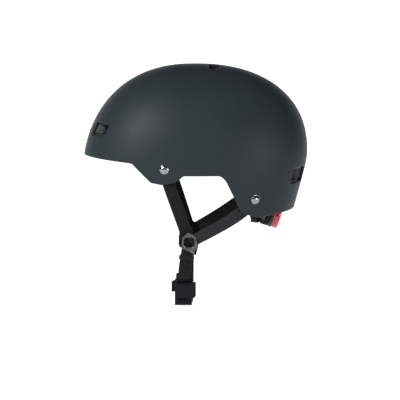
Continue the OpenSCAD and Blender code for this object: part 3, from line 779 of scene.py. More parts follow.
# ---- helmet form --------------------------------------------------------------------
@dataclass
class HelmetForm:
    """The surface that the shell, foam and straps follow, in millimetres.

    The front, back and sides each rise as a superellipse above their widest level and
    lean in below it; each level is a superellipse seen from above.

    Attributes:
        half_len: Half length of the shell.
        dome_n: Exponent of the outlines.
        plan_n: Exponent of each level.
        mid_x: Middle of the length.
        front_wide: Level at which the front outline would be longest.
        rear_wide: Level at which the back is longest.
        side_wide: Level at which the sides are widest.
        rear_taper: Slope of the back below its widest level.
        side_taper: Slope of the sides below their widest level.
        blend: Length over which a slope sets in.
        edge: Corners of the lower edge seen from the side.
    """

    half_len: float = 135.0
    dome_n: float = 2.27
    plan_n: float = 2.25
    mid_x: float = -1.0
    front_wide: float = -33.0
    rear_wide: float = 6.0
    side_wide: float = -10.0
    rear_taper: float = 0.283
    side_taper: float = 0.12
    blend: float = 12.0
    edge: tuple = ((-400, 26), (-75, -3.5), (-52.5, -25.5), (-40, -28), (-23, -25), (-14, -17.4),
                   (30, -17.4), (36, -24), (54.5, -62), (74, -68), (118, -62), (400, -62))

    def __post_init__(self) -> None:
        """Reads the width and the height from the shell's own box."""
        box = node_box("shell")
        self.crown = float(box[1][2])
        self.half_w = float(box[1][1] - box[0][1]) / 2

    def reach(self, z: np.ndarray, wide: float, half: float, taper: float,
              inset: np.ndarray | float) -> np.ndarray:
        """Distance from the middle to the surface at a height.

        Args:
            z: Height.
            wide: Level at which it is widest.
            half: Distance there.
            taper: Slope below that level.
            inset: Depth under the outer surface.

        Returns:
            The distance.
        """
        rise = np.clip((z - wide) / (self.crown - inset - wide), 0, 1)
        above = (half - inset) * (1 - rise ** self.dome_n) ** (1 / self.dome_n)
        below = half - inset - taper * (np.sqrt((wide - z) ** 2 + self.blend ** 2) - self.blend)
        return np.where(z >= wide, above, below)

    def front(self, z: np.ndarray, inset: np.ndarray | float) -> np.ndarray:
        """Reach of the front."""
        return self.reach(z, self.front_wide, self.half_len, 0.0, inset)

    def rear(self, z: np.ndarray, inset: np.ndarray | float) -> np.ndarray:
        """Reach of the back."""
        return self.reach(z, self.rear_wide, self.half_len, self.rear_taper, inset)

    def side(self, z: np.ndarray, inset: np.ndarray | float) -> np.ndarray:
        """Reach of the sides."""
        return self.reach(z, self.side_wide, self.half_w, self.side_taper, inset)

    def point(self, angle: np.ndarray, z: np.ndarray, inset: np.ndarray | float) -> np.ndarray:
        """Places on the form at angles round the head.

        Args:
            angle: Angles, 0 toward the back.
            z: Heights.
            inset: Depth under the outer surface.

        Returns:
            The places.
        """
        c, s = np.cos(angle), np.sin(angle)
        power = lambda v: np.sign(v) * np.abs(v) ** (2 / self.plan_n)
        x = self.mid_x + power(c) * np.where(c > 0, self.rear(z, inset), self.front(z, inset))
        return np.stack([x, power(s) * self.side(z, inset), z + 0 * x], -1)

    def side_y(self, x: np.ndarray, z: np.ndarray, inset: np.ndarray | float) -> np.ndarray:
        """Half width of the form at places on its side."""
        length = np.where(x > self.mid_x, self.rear(z, inset), self.front(z, inset))
        off = np.clip(np.abs(x - self.mid_x) / length, 0, 1)
        return self.side(z, inset) * (1 - off ** self.plan_n) ** (1 / self.plan_n)

    def side_point(self, place: np.ndarray, inset: np.ndarray | float) -> np.ndarray:
        """Places on the left side, given as x and z."""
        x, z = place[..., 0], place[..., 1]
        return np.stack([x, -self.side_y(x, z, inset), z], -1)

    def side_normal(self, place: np.ndarray, inset: float) -> np.ndarray:
        """Outward direction on the left side, from slopes over 1 mm.

        Args:
            place: x and z of each place.
            inset: Depth under the outer surface.

        Returns:
            Directions of length one.
        """
        x, z = place[..., 0], place[..., 1]
        slope_x = self.side_y(x - 0.5, z, inset) - self.side_y(x + 0.5, z, inset)
        slope_z = self.side_y(x, z - 0.5, inset) - self.side_y(x, z + 0.5, inset)
        return unit(np.stack([slope_x, -np.ones_like(slope_x), slope_z], -1))

    def end_x(self, y: np.ndarray, z: np.ndarray, inset: np.ndarray | float, back: bool) -> np.ndarray:
        """Place of the front or the back surface at y and z."""
        off = np.clip(np.abs(y) / self.side(z, inset), 0, 1)
        lean = (1 - off ** self.plan_n) ** (1 / self.plan_n)
        return self.mid_x + (self.rear(z, inset) if back else -self.front(z, inset)) * lean

    def top_z(self, x: np.ndarray, y: np.ndarray, inset: np.ndarray | float) -> np.ndarray:
        """Height of the crown's surface, by halving the interval.

        Args:
            x: Places along the helmet.
            y: Places across it.
            inset: Depth under the outer surface.

        Returns:
            A height for each place.
        """
        low, high = np.zeros_like(x), self.crown - inset + 0 * x
        for _ in range(36):
            mid = (low + high) / 2
            length = np.where(x > self.mid_x, self.rear(mid, inset), self.front(mid, inset))
            off = (np.abs(x - self.mid_x) / np.maximum(length, 1e-6)) ** self.plan_n \
                + (np.abs(y) / np.maximum(self.side(mid, inset), 1e-6)) ** self.plan_n
            low, high = np.where(off < 1, mid, low), np.where(off < 1, high, mid)
        return low

    def edge_curve(self, lift: float) -> tuple[np.ndarray, np.ndarray]:
        """The lower edge as x and z, moved up along its own normal.

        Args:
            lift: How far it is moved.

        Returns:
            Rising x, and z for each.
        """
        chain = rounded_corners(np.array(self.edge, float), 5.0)
        along = unit(np.gradient(chain, axis=0))
        chain = chain + np.stack([-along[:, 1], along[:, 0]], 1) * lift
        order = np.argsort(chain[:, 0])
        return chain[order, 0], chain[order, 1]

    def edge_level(self, angle: np.ndarray, inset: float, lift: float,
                   floor: float = -400.0) -> np.ndarray:
        """Height of the lower edge at angles round the head.

        The height depends on x, which depends a little on the height, so the two are
        worked out in turn until they settle.

        Args:
            angle: Angles round the head.
            inset: Depth under the outer surface.
            lift: How far the edge is moved up along its normal.
            floor: Lowest level allowed.

        Returns:
            A height for each angle.
        """
        curve = self.edge_curve(lift)
        z = np.zeros_like(angle)
        for _ in range(40):
            x = self.point(angle, z, inset)[..., 0]
            z = 0.5 * z + 0.5 * np.maximum(np.interp(x, *curve), floor)
        return z


FORM = HelmetForm()


def column_angles(count: int) -> np.ndarray:
    """Angles whose places on the form's widest level are evenly spaced along it.

    Args:
        count: Number of angles.

    Returns:
        The angles, from 0 up to a full turn.
    """
    fine = np.linspace(0, 2 * math.pi, 7201)
    ring = FORM.point(fine, np.full_like(fine, -10.0), 0.0)
    run = np.concatenate([[0], np.cumsum(np.linalg.norm(np.diff(ring, axis=0), axis=1))])
    return np.interp(np.arange(count) / count * run[-1], run, fine)


def skin_rows(angles: np.ndarray, inset: float, bottom: np.ndarray, rows: int) -> np.ndarray:
    """A skin of the form from the crown down to a lower edge.

    The height falls as 1 - cos of an angle that grows evenly, so the rows are evenly
    spaced along the dome.

    Args:
        angles: Angles round the head.
        inset: Depth under the outer surface.
        bottom: Height of the lower edge at each angle.
        rows: Number of rows.

    Returns:
        Rows of points, the first just under the crown.
    """
    top = FORM.crown - inset
    share = 1 - np.cos(0.5 * math.pi * np.arange(1, rows + 1) / rows)
    z = top - (top - bottom)[None, :] * share[:, None]
    return FORM.point(np.broadcast_to(angles, z.shape), z, inset)


# ---- vents --------------------------------------------------------------------------
class VentPlace(Enum):
    """Where a pair of vents goes through the shell."""

    FRONT = "front"
    REAR = "rear"
    CROWN = "crown"


@dataclass(frozen=True)
class Vent:
    """A pair of rounded vents, one on each side.

    Attributes:
        place: Which surface they go through.
        at: Middle: sideways and up, or for the crown back and sideways.
        size: Width and height, or for the crown length and width.
        corner: Radius of the corners.
    """

    place: VentPlace
    at: tuple[float, float]
    size: tuple[float, float]
    corner: float = 3.0

    def outline(self, grow: np.ndarray | float, side: int, count: int = 96) -> np.ndarray:
        """The vent's outline, made larger all round.

        Args:
            grow: How much larger, in one number or a column of them.
            side: -1 for the left vent, 1 for the right.
            count: Points on the outline.

        Returns:
            Points in the vent's own plane.
        """
        half = np.array(self.size) / 2 - self.corner
        corners = np.array([[1, 1], [-1, 1], [-1, -1], [1, -1]]) * half
        steps = count // 4
        turn = np.linspace(0, 0.5 * math.pi, steps)
        arcs = turn[None, :] + 0.5 * math.pi * np.arange(4)[:, None]
        radius = self.corner + np.asarray(grow)[..., None, None]
        round_part = np.stack([np.cos(arcs), np.sin(arcs)], -1)
        shape = corners[:, None] + radius[..., None] * round_part
        shape = shape.reshape(*shape.shape[:-3], -1, 2)
        middle = np.array(self.at) * ([1, side] if self.place is VentPlace.CROWN else [side, 1])
        return middle + shape

    def on_surface(self, flat: np.ndarray, inset: np.ndarray | float) -> np.ndarray:
        """Puts flat points on the form.

        Args:
            flat: Points in the vent's own plane.
            inset: Depth under the outer surface.

        Returns:
            The places.
        """
        u, v = flat[..., 0], flat[..., 1]
        if self.place is VentPlace.CROWN:
            return np.stack([u, v, FORM.top_z(u, v, inset)], -1)
        x = FORM.end_x(u, v, inset, self.place is VentPlace.REAR)
        return np.stack([x, u, v], -1)

    def cutter(self, grow: float, side: int, near: float, far: float) -> bpy.types.Object:
        """A solid that goes through the wall.

        Args:
            grow: How much larger than the vent it is.
            side: -1 for the left vent, 1 for the right.
            near: Depth at which it starts, below zero outside the shell.
            far: Depth at which it ends.

        Returns:
            The solid.
        """
        flat = self.outline(grow, side)
        maker = MeshMaker()
        maker.grid(np.stack([self.on_surface(flat, near), self.on_surface(flat, far)]),
                   wrap_v=True, cap_start=True, cap_end=True)
        return maker.make("vent_cutter")

    def lip(self, wall: float, bulge: float, side: int) -> np.ndarray:
        """Rounded rim between the two faces of the wall.

        Over a half turn f the depth is (1 - sin f) of half the wall and the outline grows
        by (1 - cos f) of the bulge.

        Args:
            wall: Thickness of the wall.
            bulge: How far the rim stands into the vent.
            side: -1 for the left vent, 1 for the right.

        Returns:
            Rows of points across the rim.
        """
        f = np.linspace(0.5 * math.pi, -0.5 * math.pi, 11)
        flat = self.outline(bulge * (1 - np.cos(f)), side)
        depth = 0.5 * wall * (1 - np.sin(f))
        return self.on_surface(flat, depth[:, None])


VENTS = (Vent(VentPlace.FRONT, (45, 34), (31, 14)), Vent(VentPlace.REAR, (36, -20), (36, 17)),
         Vent(VentPlace.CROWN, (22, 21), (12, 26)))


@dataclass
class HardShell:
    """The moulded shell with its rounded edges and its rivets.

    Attributes:
        wall: Thickness of the shell.
        columns: Points round the head.
        rows: Points from the crown to the edge, on the outer face.
        rim: How far the rounded edge stands out.
        vent_rim: How far a vent's rounded rim stands in.
        rivets: Places of the rivets as x and z.
        head_r: Radius of a rivet's head.
        head_h: Height of a rivet's head.
    """

    wall: float = 3.0
    columns: int = 560
    rows: int = 96
    rim: float = 1.4
    vent_rim: float = 1.1
    rivets: tuple = ((-36.5, -9.5), (70.6, -46.0))
    head_r: float = 5.4
    head_h: float = 2.6

    def build(self) -> None:
        """Builds the shell, its rivets and their washers."""
        angles = column_angles(self.columns)
        f = np.linspace(0.5 * math.pi, -0.5 * math.pi, 11)[1:-1]
        outer = skin_rows(angles, 0.0, FORM.edge_level(angles, 0.0, self.rim), self.rows)
        inner = skin_rows(angles, self.wall, FORM.edge_level(angles, self.wall, self.rim), 60)[::-1]
        lip = np.stack([FORM.point(angles, FORM.edge_level(angles, d, l), d) for d, l in
                        zip(0.5 * self.wall * (1 - np.sin(f)), self.rim * (1 - np.cos(f)))])
        maker = MeshMaker()
        maker.grid(np.concatenate([outer, lip, inner]), wrap_v=True, cap_start=True, cap_end=True)
        shell = maker.make("hard_shell")
        rims = MeshMaker()
        for vent in VENTS:
            for side in (-1, 1):
                cut_away(shell, vent.cutter(self.vent_rim - 0.03, side, -12.0, 12.0))
                rims.grid(vent.lip(self.wall, self.vent_rim, side), wrap_v=True)
        shell.data.polygons.foreach_set("use_smooth", np.full(len(shell.data.polygons), True))
        settle(shell, "shell_slate", "root", stands_for=("shell",))
        settle(rims.make("vent_rims", outward=False), "shell_slate", "root")
        self.build_rivets()

    def build_rivets(self) -> None:
        """Builds the domed rivets and dresses the washers."""
        maker = MeshMaker()
        ball = (self.head_r ** 2 + self.head_h ** 2) / (2 * self.head_h)
        span = math.asin(self.head_r / ball)
        t = np.linspace(0.03, 1, 14) * span
        dome = np.stack([ball * np.sin(t), self.head_h - ball * (1 - np.cos(t))], 1)
        flange = np.array([[self.head_r + 0.15, -0.05], [self.head_r + 0.15, -0.35],
                           [self.head_r - 0.3, -0.5], [2.0, -0.5], [2.0, -6.9], [3.1, -7.1],
                           [3.1, -7.6], [2.6, -7.9]])
        line = np.vstack([dome, flange + [0, 0.32]])
        turn = np.linspace(0, 2 * math.pi, 64, endpoint=False)
        for place in self.rivets:
            spot = np.array(place)
            base, up = FORM.side_point(spot, 0.0), FORM.side_normal(spot, 0.0)
            across = unit(np.cross(up, [0.0, 0.0, 1.0]))
            other = np.cross(up, across)
            ring = np.cos(turn)[:, None] * across + np.sin(turn)[:, None] * other
            solid = base + line[:, 0, None, None] * ring + line[:, 1, None, None] * up
            for flip in (1, -1):
                maker.grid(solid * [1, flip, 1], wrap_v=True, cap_start=True, cap_end=True)
        settle(maker.make("rivet_heads"), "chrome_dome", "root",
               stands_for=("strap_rivets",))
        settle(softened("rivet_washers", 0.2), "plain_steel", "root")


@dataclass
class FoamLiner:
    """The expanded-foam liner glued inside the shell.

    Attributes:
        outer: Depth of its outer face.
        thick: Thickness.
        recess: How far it stays inside the shell's edge.
        floor: Lowest level of the foam.
        step: How much smaller its vent channels are than the shell's vents.
        pocket: Depth of the relief for the webbing.
        rim: Radius of its rounded edge.
    """

    outer: float = 3.3
    thick: float = 20.0
    recess: float = 4.0
    floor: float = -46.0
    step: float = 1.5
    pocket: float = 4.2
    rim: float = 4.0

    def build(self) -> None:
        """Builds the liner with its channels."""
        angles = column_angles(420)
        inner_at = self.outer + self.thick
        f = np.linspace(0.5 * math.pi, 0, 6)
        rows = [skin_rows(angles, self.outer, FORM.edge_level(angles, self.outer, self.recess + self.rim,
                                                              self.floor + self.rim), 70)]
        corner = [(self.outer + self.rim * (1 - np.sin(k)), self.recess + self.rim * (1 - np.cos(k)))
                  for k in f[1:]]
        corner += [(inner_at - self.rim * (1 - np.sin(k)), self.recess + self.rim * (1 - np.cos(k)))
                   for k in f[::-1]]
        for depth, lift in corner:
            level = FORM.edge_level(angles, depth, lift, self.floor + lift - self.recess)
            rows.append(FORM.point(angles, level, depth)[None])
        rows.append(skin_rows(angles, inner_at, FORM.edge_level(angles, inner_at, self.recess + self.rim,
                                                                self.floor + self.rim), 60)[::-1])
        points = np.concatenate(rows)
        maker = MeshMaker()
        maker.grid(self.relieve(points), wrap_v=True, cap_start=True, cap_end=True)
        liner = maker.make("foam_liner_form")
        for vent in VENTS:
            for side in (-1, 1):
                cut_away(liner, vent.cutter(-self.step, side, -6.0, 60.0))
        liner.data.polygons.foreach_set("use_smooth", np.full(len(liner.data.polygons), True))
        settle(liner, "eps_black", "root", stands_for=("foam_liner",))

    def relieve(self, points: np.ndarray) -> np.ndarray:
        """Presses the outer face in where the webbing and rivets lie.

        Args:
            points: Points of the liner.

        Returns:
            The points, those near the webbing moved toward the middle.
        """
        depth = np.zeros(points.shape[:2])
        for rivet, leave in ((HardShell.rivets[0], (-30, -30)), (HardShell.rivets[1], (54, -62))):
            start, end = np.array(rivet, float), np.array(leave, float)
            along = unit(end - start)
            off = points[..., [0, 2]] - start
            u, v = off @ along, off @ np.array([-along[1], along[0]])
            gap = np.maximum(np.maximum(-11 - u, u - 60), np.abs(v) - 9.5)
            depth = np.maximum(depth, smoothstep(1 - gap / 2.5))
        deep = np.abs(points[..., 1]) - FORM.side_y(points[..., 0], points[..., 2], self.outer + self.pocket)
        push = np.clip(deep, 0, None) * depth * (np.abs(points[..., 1]) > 40)
        moved = points.copy()
        moved[..., 1] -= np.sign(points[..., 1]) * push
        return moved


# ---- pads ---------------------------------------------------------------------------
@dataclass
class ComfortPads:
    """Soft pads of foam in knitted fabric, each blown up a little from its CAD block.

    Attributes:
        blocks: Node, voxel in millimetres, pressure and greatest swelling in millimetres.
    """

    blocks: tuple = (("brow_pad", 4.0, 4.0, 2.2), ("crown_pad", 4.0, 4.0, 2.2),
                     ("left_side_pad", 4.0, 4.0, 2.2), ("right_side_pad", 4.0, 4.0, 2.2),
                     ("cradle_pad", 3.0, 4.0, 1.4))

    def build(self) -> None:
        """Builds each pad."""
        for node, voxel, pressure, cap in self.blocks:
            pad = self.inflate(node, voxel, pressure, cap)
            settle(pad, "pad_knit", "root", stands_for=(node,))

    def inflate(self, node: str, voxel: float, pressure: float, cap: float) -> bpy.types.Object:
        """Remeshes a block and lets cloth pressure round it.

        Args:
            node: The block's node.
            voxel: Size of the remesh.
            pressure: Pressure of the cloth.
            cap: Farthest that a point may move.

        Returns:
            The rounded pad.
        """
        source = frame["nodes"][node]
        mesh = source.data.copy()
        mesh.materials.clear()
        mesh.transform(source.matrix_world)
        obj = bpy.data.objects.new(node + "_form", mesh)
        bpy.context.scene.collection.objects.link(obj)
        remesh = obj.modifiers.new("voxels", "REMESH")
        remesh.mode, remesh.voxel_size = "VOXEL", voxel * MM
        bpy.context.view_layer.update()
        apply_modifiers(obj)
        count = len(obj.data.vertices)
        rest = np.empty(count * 3)
        obj.data.vertices.foreach_get("co", rest)
        rest = rest.reshape(-1, 3)
        cloth = obj.modifiers.new("cloth", "CLOTH")
        cloth.settings.use_pressure = True
        cloth.settings.uniform_pressure_force = pressure
        cloth.settings.effector_weights.gravity = 0.0
        for number in range(1, 21):
            bpy.context.scene.frame_set(number)
        graph = bpy.context.evaluated_depsgraph_get()
        blown = np.empty(count * 3)
        obj.evaluated_get(graph).data.vertices.foreach_get("co", blown)
        obj.modifiers.clear()
        move = blown.reshape(-1, 3) - rest
        size = np.linalg.norm(move, axis=1, keepdims=True)
        move *= np.minimum(1.0, cap * MM / np.maximum(size, 1e-9))
        obj.data.vertices.foreach_set("co", (rest + move).ravel())
        bpy.context.scene.frame_set(1)
        smooth = obj.modifiers.new("fine", "SUBSURF")
        smooth.levels = smooth.render_levels = 1
        bpy.context.view_layer.update()
        apply_modifiers(obj)
        obj.data.polygons.foreach_set("use_smooth", np.full(len(obj.data.polygons), True))
        return obj


# ---- webbing ------------------------------------------------------------------------
@dataclass
class Webbing:
    """Flat nylon webbing, woven with crosswise ribs.

    Attributes:
        width: Width of the webbing.
        thick: Thickness.
        rib: Distance between ribs.
        depth: Depth of the ribs as a share of the thickness.
        step: Distance between stations along the strap.
    """

    width: float = 15.0
    thick: float = 1.5
    rib: float = 2.4
    depth: float = 0.45
    step: float = 0.21

    def sweep(self, name: str, path: np.ndarray, wide: np.ndarray) -> bpy.types.Object:
        """Runs the webbing along a path.

        The section is a flat strip whose half thickness is that of the webbing times
        (1 - |v|^10), with v from -1 to 1 across; ribs add a sine along the strap that dies
        out at the woven edges.

        Args:
            name: Name of the piece.
            path: Points of its middle line.
            wide: The direction across the strap at each point.

        Returns:
            The strap.
        """
        points, wide = respace(path, wide, self.step)
        along = unit(np.gradient(points, axis=0))
        side = unit(wide - along * (wide * along).sum(1, keepdims=True))
        face = np.cross(along, side)
        v = np.sin(np.linspace(-0.5 * math.pi, 0.5 * math.pi, 15))
        ring_v = np.concatenate([v, v[-2:0:-1]])
        sign = np.concatenate([np.ones(15), -np.ones(13)])
        edge = (1 - np.abs(ring_v) ** 10) ** 0.5
        run = np.arange(len(points)) * self.step
        ribs = 1 + self.depth * np.sin(2 * math.pi * run / self.rib)[:, None] \
            * smoothstep((1 - np.abs(ring_v)) / 0.12)[None, :]
        selvage = 1 + 0.10 * np.exp(-((np.abs(ring_v) - 0.90) / 0.05) ** 2)
        half = 0.5 * self.thick * edge * selvage * ribs * sign
        across = 0.5 * self.width * ring_v
        solid = points[:, None] + side[:, None] * across[None, :, None] + face[:, None] * half[..., None]
        uv = np.stack(np.broadcast_arrays(run[:, None], across[None, :]), -1)
        maker = MeshMaker()
        maker.grid(solid, uv, wrap_v=True, cap_start=True, cap_end=True)
        return maker.make(name)


WEB = Webbing()


def mirror(points: np.ndarray) -> np.ndarray:
    """The same places on the right side."""
    return np.asarray(points) * np.array([1.0, -1.0, 1.0])


@dataclass
class Divider:
    """A strap divider with its hinged flap, and the frame that it is drawn in.

    Attributes:
        lean: Lean of the divider from upright, in degrees.
        hinge_a: Front end of the flap's hinge, in the divider's own plane.
        hinge_b: Rear end of it.
        hinge_z: Height of the hinge over the back plate.
        inner_z: Level of the inner webbing.
        outer_z: Level of the outer webbing.
    """

    lean: float = 24.0
    hinge_a: tuple = (-9.6, -4.3)
    hinge_b: tuple = (6.6, -14.1)
    hinge_z: float = 6.5
    inner_z: float = 2.65
    outer_z: float = 4.45

    def __post_init__(self) -> None:
        """Finds the divider's origin from its hinge joint."""
        turn = math.radians(self.lean)
        self.up = np.array([0.0, -math.sin(turn), math.cos(turn)])
        self.out = np.array([0.0, -math.cos(turn), -math.sin(turn)])
        middle = np.array(joint_of("left_flap_hinge")["pos_m"]) / MM
        mid = (np.array(self.hinge_a) + self.hinge_b) / 2
        self.at = middle - self.place([mid[0], mid[1], self.hinge_z], origin=np.zeros(3))

    def place(self, p: np.ndarray, origin: np.ndarray | None = None) -> np.ndarray:
        """Places in the helmet's frame from the divider's own x, y and height."""
        p = np.asarray(p, float)
        base = self.at if origin is None else origin
        return base + p[..., 0:1] * [1.0, 0, 0] + p[..., 1:2] * self.up + p[..., 2:3] * self.out


@dataclass
class Harness:
    """The straps, dividers, chin straps and buckle.

    Attributes:
        web_in: Depth of the webbing under the shell.
        strap_in: Depth at which a strap leaves the shell.
        past: Webbing above each rivet.
        flap_hole: Width and height of the hole in a lock flap.
    """

    web_in: float = 4.05
    strap_in: float = 4.45
    past: float = 9.0
    flap_hole: tuple = (12.5, 13.5)
    leave: tuple = ((-30.0, -30.0), (54.0, -62.0))
    divider: Divider = field(default_factory=Divider)

    def __post_init__(self) -> None:
        """Finds the buckle from its magnets and sets the straps' directions."""
        magnet = node_box("outer_buckle_magnet")
        middle = magnet.mean(0)
        self.buckle = np.array([middle[0], magnet[1][1] + 0.15, middle[2] + 1.0])
        self.swing = [FORM.side_point(np.array(p), self.strap_in) for p in self.leave]

    def buckle_place(self, p: tuple) -> np.ndarray:
        """A place given in the buckle's own x, y and height outward."""
        return self.buckle + np.array([p[0], -p[2], p[1]])

    def strap_path(self, index: int) -> tuple[np.ndarray, np.ndarray]:
        """Middle line and crosswise direction of a left strap, rivet to divider.

        Args:
            index: 0 for the front strap, 1 for the rear one.

        Returns:
            Points and directions.
        """
        rivet = np.array(HardShell.rivets[index])
        leave = np.array(self.leave[index])
        along = unit(leave - rivet)
        length = float(np.linalg.norm(leave - rivet))
        s = np.linspace(-self.past, length - 6, 40)
        depth = self.web_in + (self.strap_in - self.web_in) * smoothstep((s - length + 20) / 14)
        tab = FORM.side_point(rivet + s[:, None] * along, depth)
        towards = np.gradient(tab, axis=0)
        sign = 1 if index == 0 else -1
        tab_wide = sign * np.cross(FORM.side_normal(rivet + s[:, None] * along, self.web_in),
                                   unit(towards))
        start = FORM.side_point(leave - 6 * along, self.strap_in)
        swing = self.swing[index]
        far = unit(swing - FORM.side_point(rivet, self.strap_in))
        d = self.divider
        if index == 0:
            run = [start, swing + 12 * far, d.place([-6.5, 24, d.inner_z]), d.place([0.5, -1, d.inner_z])]
            last = np.array([0.92, -0.1, 0.26])
        else:
            run = [start, swing + 10 * far, d.place([25, 14, d.outer_z]), d.place([1.5, 0.5, d.outer_z])]
            last = np.array([-0.6, -0.32, 0.73])
        first = sign * np.cross(FORM.side_normal(leave, self.web_in), unit(run[1] - run[0]))
        u = np.linspace(0, 1, 80)
        curve = bezier(np.array(run), u)
        wide = first * (1 - u[:, None]) + last * u[:, None]
        return np.vstack([tab[:-1], curve]), np.vstack([tab_wide[:-1], wide])

    def build(self) -> None:
        """Builds every piece of the harness."""
        for side, flip in (("left", np.ones(3)), ("right", np.array([1.0, -1.0, 1.0]))):
            for index, which, finish in ((0, "front", "webbing_black"), (1, "rear", "webbing_grey")):
                path, wide = self.strap_path(index)
                name = f"{side}_{which}_strap"
                strap = WEB.sweep(name + "_webbing", path * flip, wide * flip)
                swing = self.swing[index]
                along = unit(path[-1] - swing)
                bend = ("root", side + "_harness", (swing - 4 * along) * flip, (swing + 7 * along) * flip)
                settle(strap, finish, bend=bend, stands_for=(name, name + "_tab"))
            settle(softened(side + "_divider", 0.35), "clip_black", side + "_harness")
            self.build_flap(side, flip)
        self.build_chin_straps()
        self.build_buckle()

    def build_chin_straps(self) -> None:
        """Builds both chin straps and the keeper."""
        d = self.divider
        u = np.linspace(0, 1, 90)
        left = bezier(np.array([d.place([-0.5, 0, d.inner_z]), d.place([-2, -20, d.inner_z + 0.3]),
                                self.buckle_place((-0.8, 30, 8.9)), self.buckle_place((-0.8, 17.4, 6.0))]), u)
        tail = bezier(np.array([left[-1], self.buckle_place((-0.8, 14.2, 5.0)),
                                self.buckle_place((-0.8, 12.4, 4.6)), self.buckle_place((-0.8, 10.9, 1.6))]),
                      np.linspace(0, 1, 30))
        path = np.vstack([left, tail[1:]])
        strap = WEB.sweep("left_chin_strap_webbing", path, np.tile([1.0, 0, 0], (len(path), 1)))
        settle(strap, "webbing_black", "left_harness", stands_for=("left_chin_strap",))
        keeper = softened("strap_keeper", 0.5)
        settle(keeper, "keeper_rubber", "left_harness")
        loop_end = self.buckle_place((-2.4, -19.5, -16))
        low = np.array([self.buckle[0] + 1.0, 6.0, self.buckle[2] - 21.5])
        runs = [[self.buckle_place((-2.4, -14, -2)), self.buckle_place((-2.4, -14, -8)),
                 self.buckle_place((-2.4, -17.5, -11)), loop_end],
                [loop_end, loop_end + [0, 8, -2.5], low + [-1, -15, 0], low],
                [low, low + [2, 21, 0], mirror(d.place([-3, -42, d.inner_z + 2])),
                 mirror(d.place([-1.3, 0, d.inner_z]))]]
        path = np.vstack([bezier(np.array(run), u)[:-1] for run in runs])
        strap = WEB.sweep("right_chin_strap_webbing", path, np.tile([1.0, 0, 0], (len(path), 1)))
        settle(strap, "webbing_black", bend=("right_harness", "inner_buckle", low, loop_end),
               stands_for=("right_chin_strap", "inner_buckle_loop"))

    def build_flap(self, side: str, flip: np.ndarray) -> None:
        """Builds a divider's lock flap: a crowned ring and the barrel that it turns on.

        Args:
            side: left or right.
            flip: Multiplies a place on the left to give this side's.
        """
        d = self.divider
        maker = MeshMaker()
        corners = np.array([[-1, 15.0], [-8.0, 7.2], [-9.1, -4.2], [5.6, -12.9], [10.5, -3.0],
                            [7.4, 10.0]])[::-1]
        ring_plate(maker, rounded_corners(corners, 2.2, 9, closed=True),
                   rounded_box(self.flap_hole, 4.5, (0.0, 1.2)), (0.0, 1.2), 5.5, 7.3, 0.7, 0.35,
                   lambda p: d.place(p) * flip)
        a, b = np.array([*d.hinge_a, d.hinge_z]), np.array([*d.hinge_b, d.hinge_z])
        along = unit(b - a)
        out = np.cross(along, [0.0, 0.0, 1.0])
        turn = np.linspace(0, 2 * math.pi, 28, endpoint=False)
        ring = np.cos(turn)[:, None] * out + np.sin(turn)[:, None] * np.array([0.0, 0.0, 1.0])
        length = float(np.linalg.norm(b - a))
        run = np.array([0.0, 0.12, 0.4, length - 0.4, length - 0.12, length])
        radius = np.array([1.0, 1.28, 1.4, 1.4, 1.28, 1.0])
        barrel = a + run[:, None, None] * along + radius[:, None, None] * ring
        maker.grid(d.place(barrel) * flip, wrap_v=True, cap_start=True, cap_end=True)
        settle(maker.make(side + "_lock_flap"), "flap_satin_painted_highlight", side + "_flap",
               stands_for=(side + "_divider_flap",))

    def build_buckle(self) -> None:
        """Builds the two halves of the magnetic buckle."""
        def place(p: np.ndarray) -> np.ndarray:
            """The buckle's own x, y and height in the helmet's frame."""
            return self.buckle + np.stack([p[..., 0], -p[..., 2], p[..., 1]], -1)

        outer = MeshMaker()
        y = fine_rows(-10.7, 8.5, 0.3, 1.0)
        right = np.minimum(12.5, 12.5 + (y + 8.3) * 1.0)
        relief = lambda u, v: (ridge(v, 6.2, 0.45, 0.5) * smoothstep((9.4 - np.abs(u + 1.4)) / 1.5)
                               - ridge(u, 8.6, 0.35, 0.7) - 0.5 * smoothstep((u - 8.9) / 0.8))
        relief_plate(outer, np.full_like(y, -12.5), right, y, 0.35, 5.4, 1.0, relief, place)
        ring_plate(outer, rounded_box((20.4, 12.6), 1.5, (-0.8, 13.0)),
                   rounded_box((16.4, 4.4), 1.0, (-0.8, 10.6)), (-0.8, 10.6), 0.15, 3.95, 0.5, 0.0, place)
        settle(outer.make("buckle_outer"), "clip_slate", "left_harness",
               stands_for=("outer_buckle_half",))
        inner = MeshMaker()
        y = fine_rows(-19.6, 14.4, 0.25, 1.0)
        left = np.where(y > 7, -12.6 + np.clip(y - 11, 0, 2.5), -12.6)
        grip = lambda u, v: sum(ridge(v, k, 0.36, 0.42) for k in (-13.2, -14.7, -16.2)) \
            * smoothstep((7.6 - np.abs(u + 2.4)) / 1.2) - 0.35 * smoothstep((v + 11.6) / 0.5)
        relief_plate(inner, left, np.full_like(y, 7.8), y, -5.55, 0.1, 1.0, grip, place)
        y = fine_rows(-3.4, 9.9, 0.4, 1.0)
        left = np.maximum(-16.4, -16.4 + (y - 8.0) * 0.75)
        relief_plate(inner, left, np.full_like(y, -10.5), y, -5.2, -0.6, 1.0,
                     lambda u, v: ridge(u, -15.0, 0.5, 0.3), place)
        settle(inner.make("buckle_inner"), "clip_black", "inner_buckle",
               stands_for=("inner_buckle_half",))
        settle(softened("outer_buckle_magnet", 0.3), "plain_steel", "left_harness")
        settle(softened("inner_buckle_magnet", 0.3), "plain_steel", "inner_buckle")


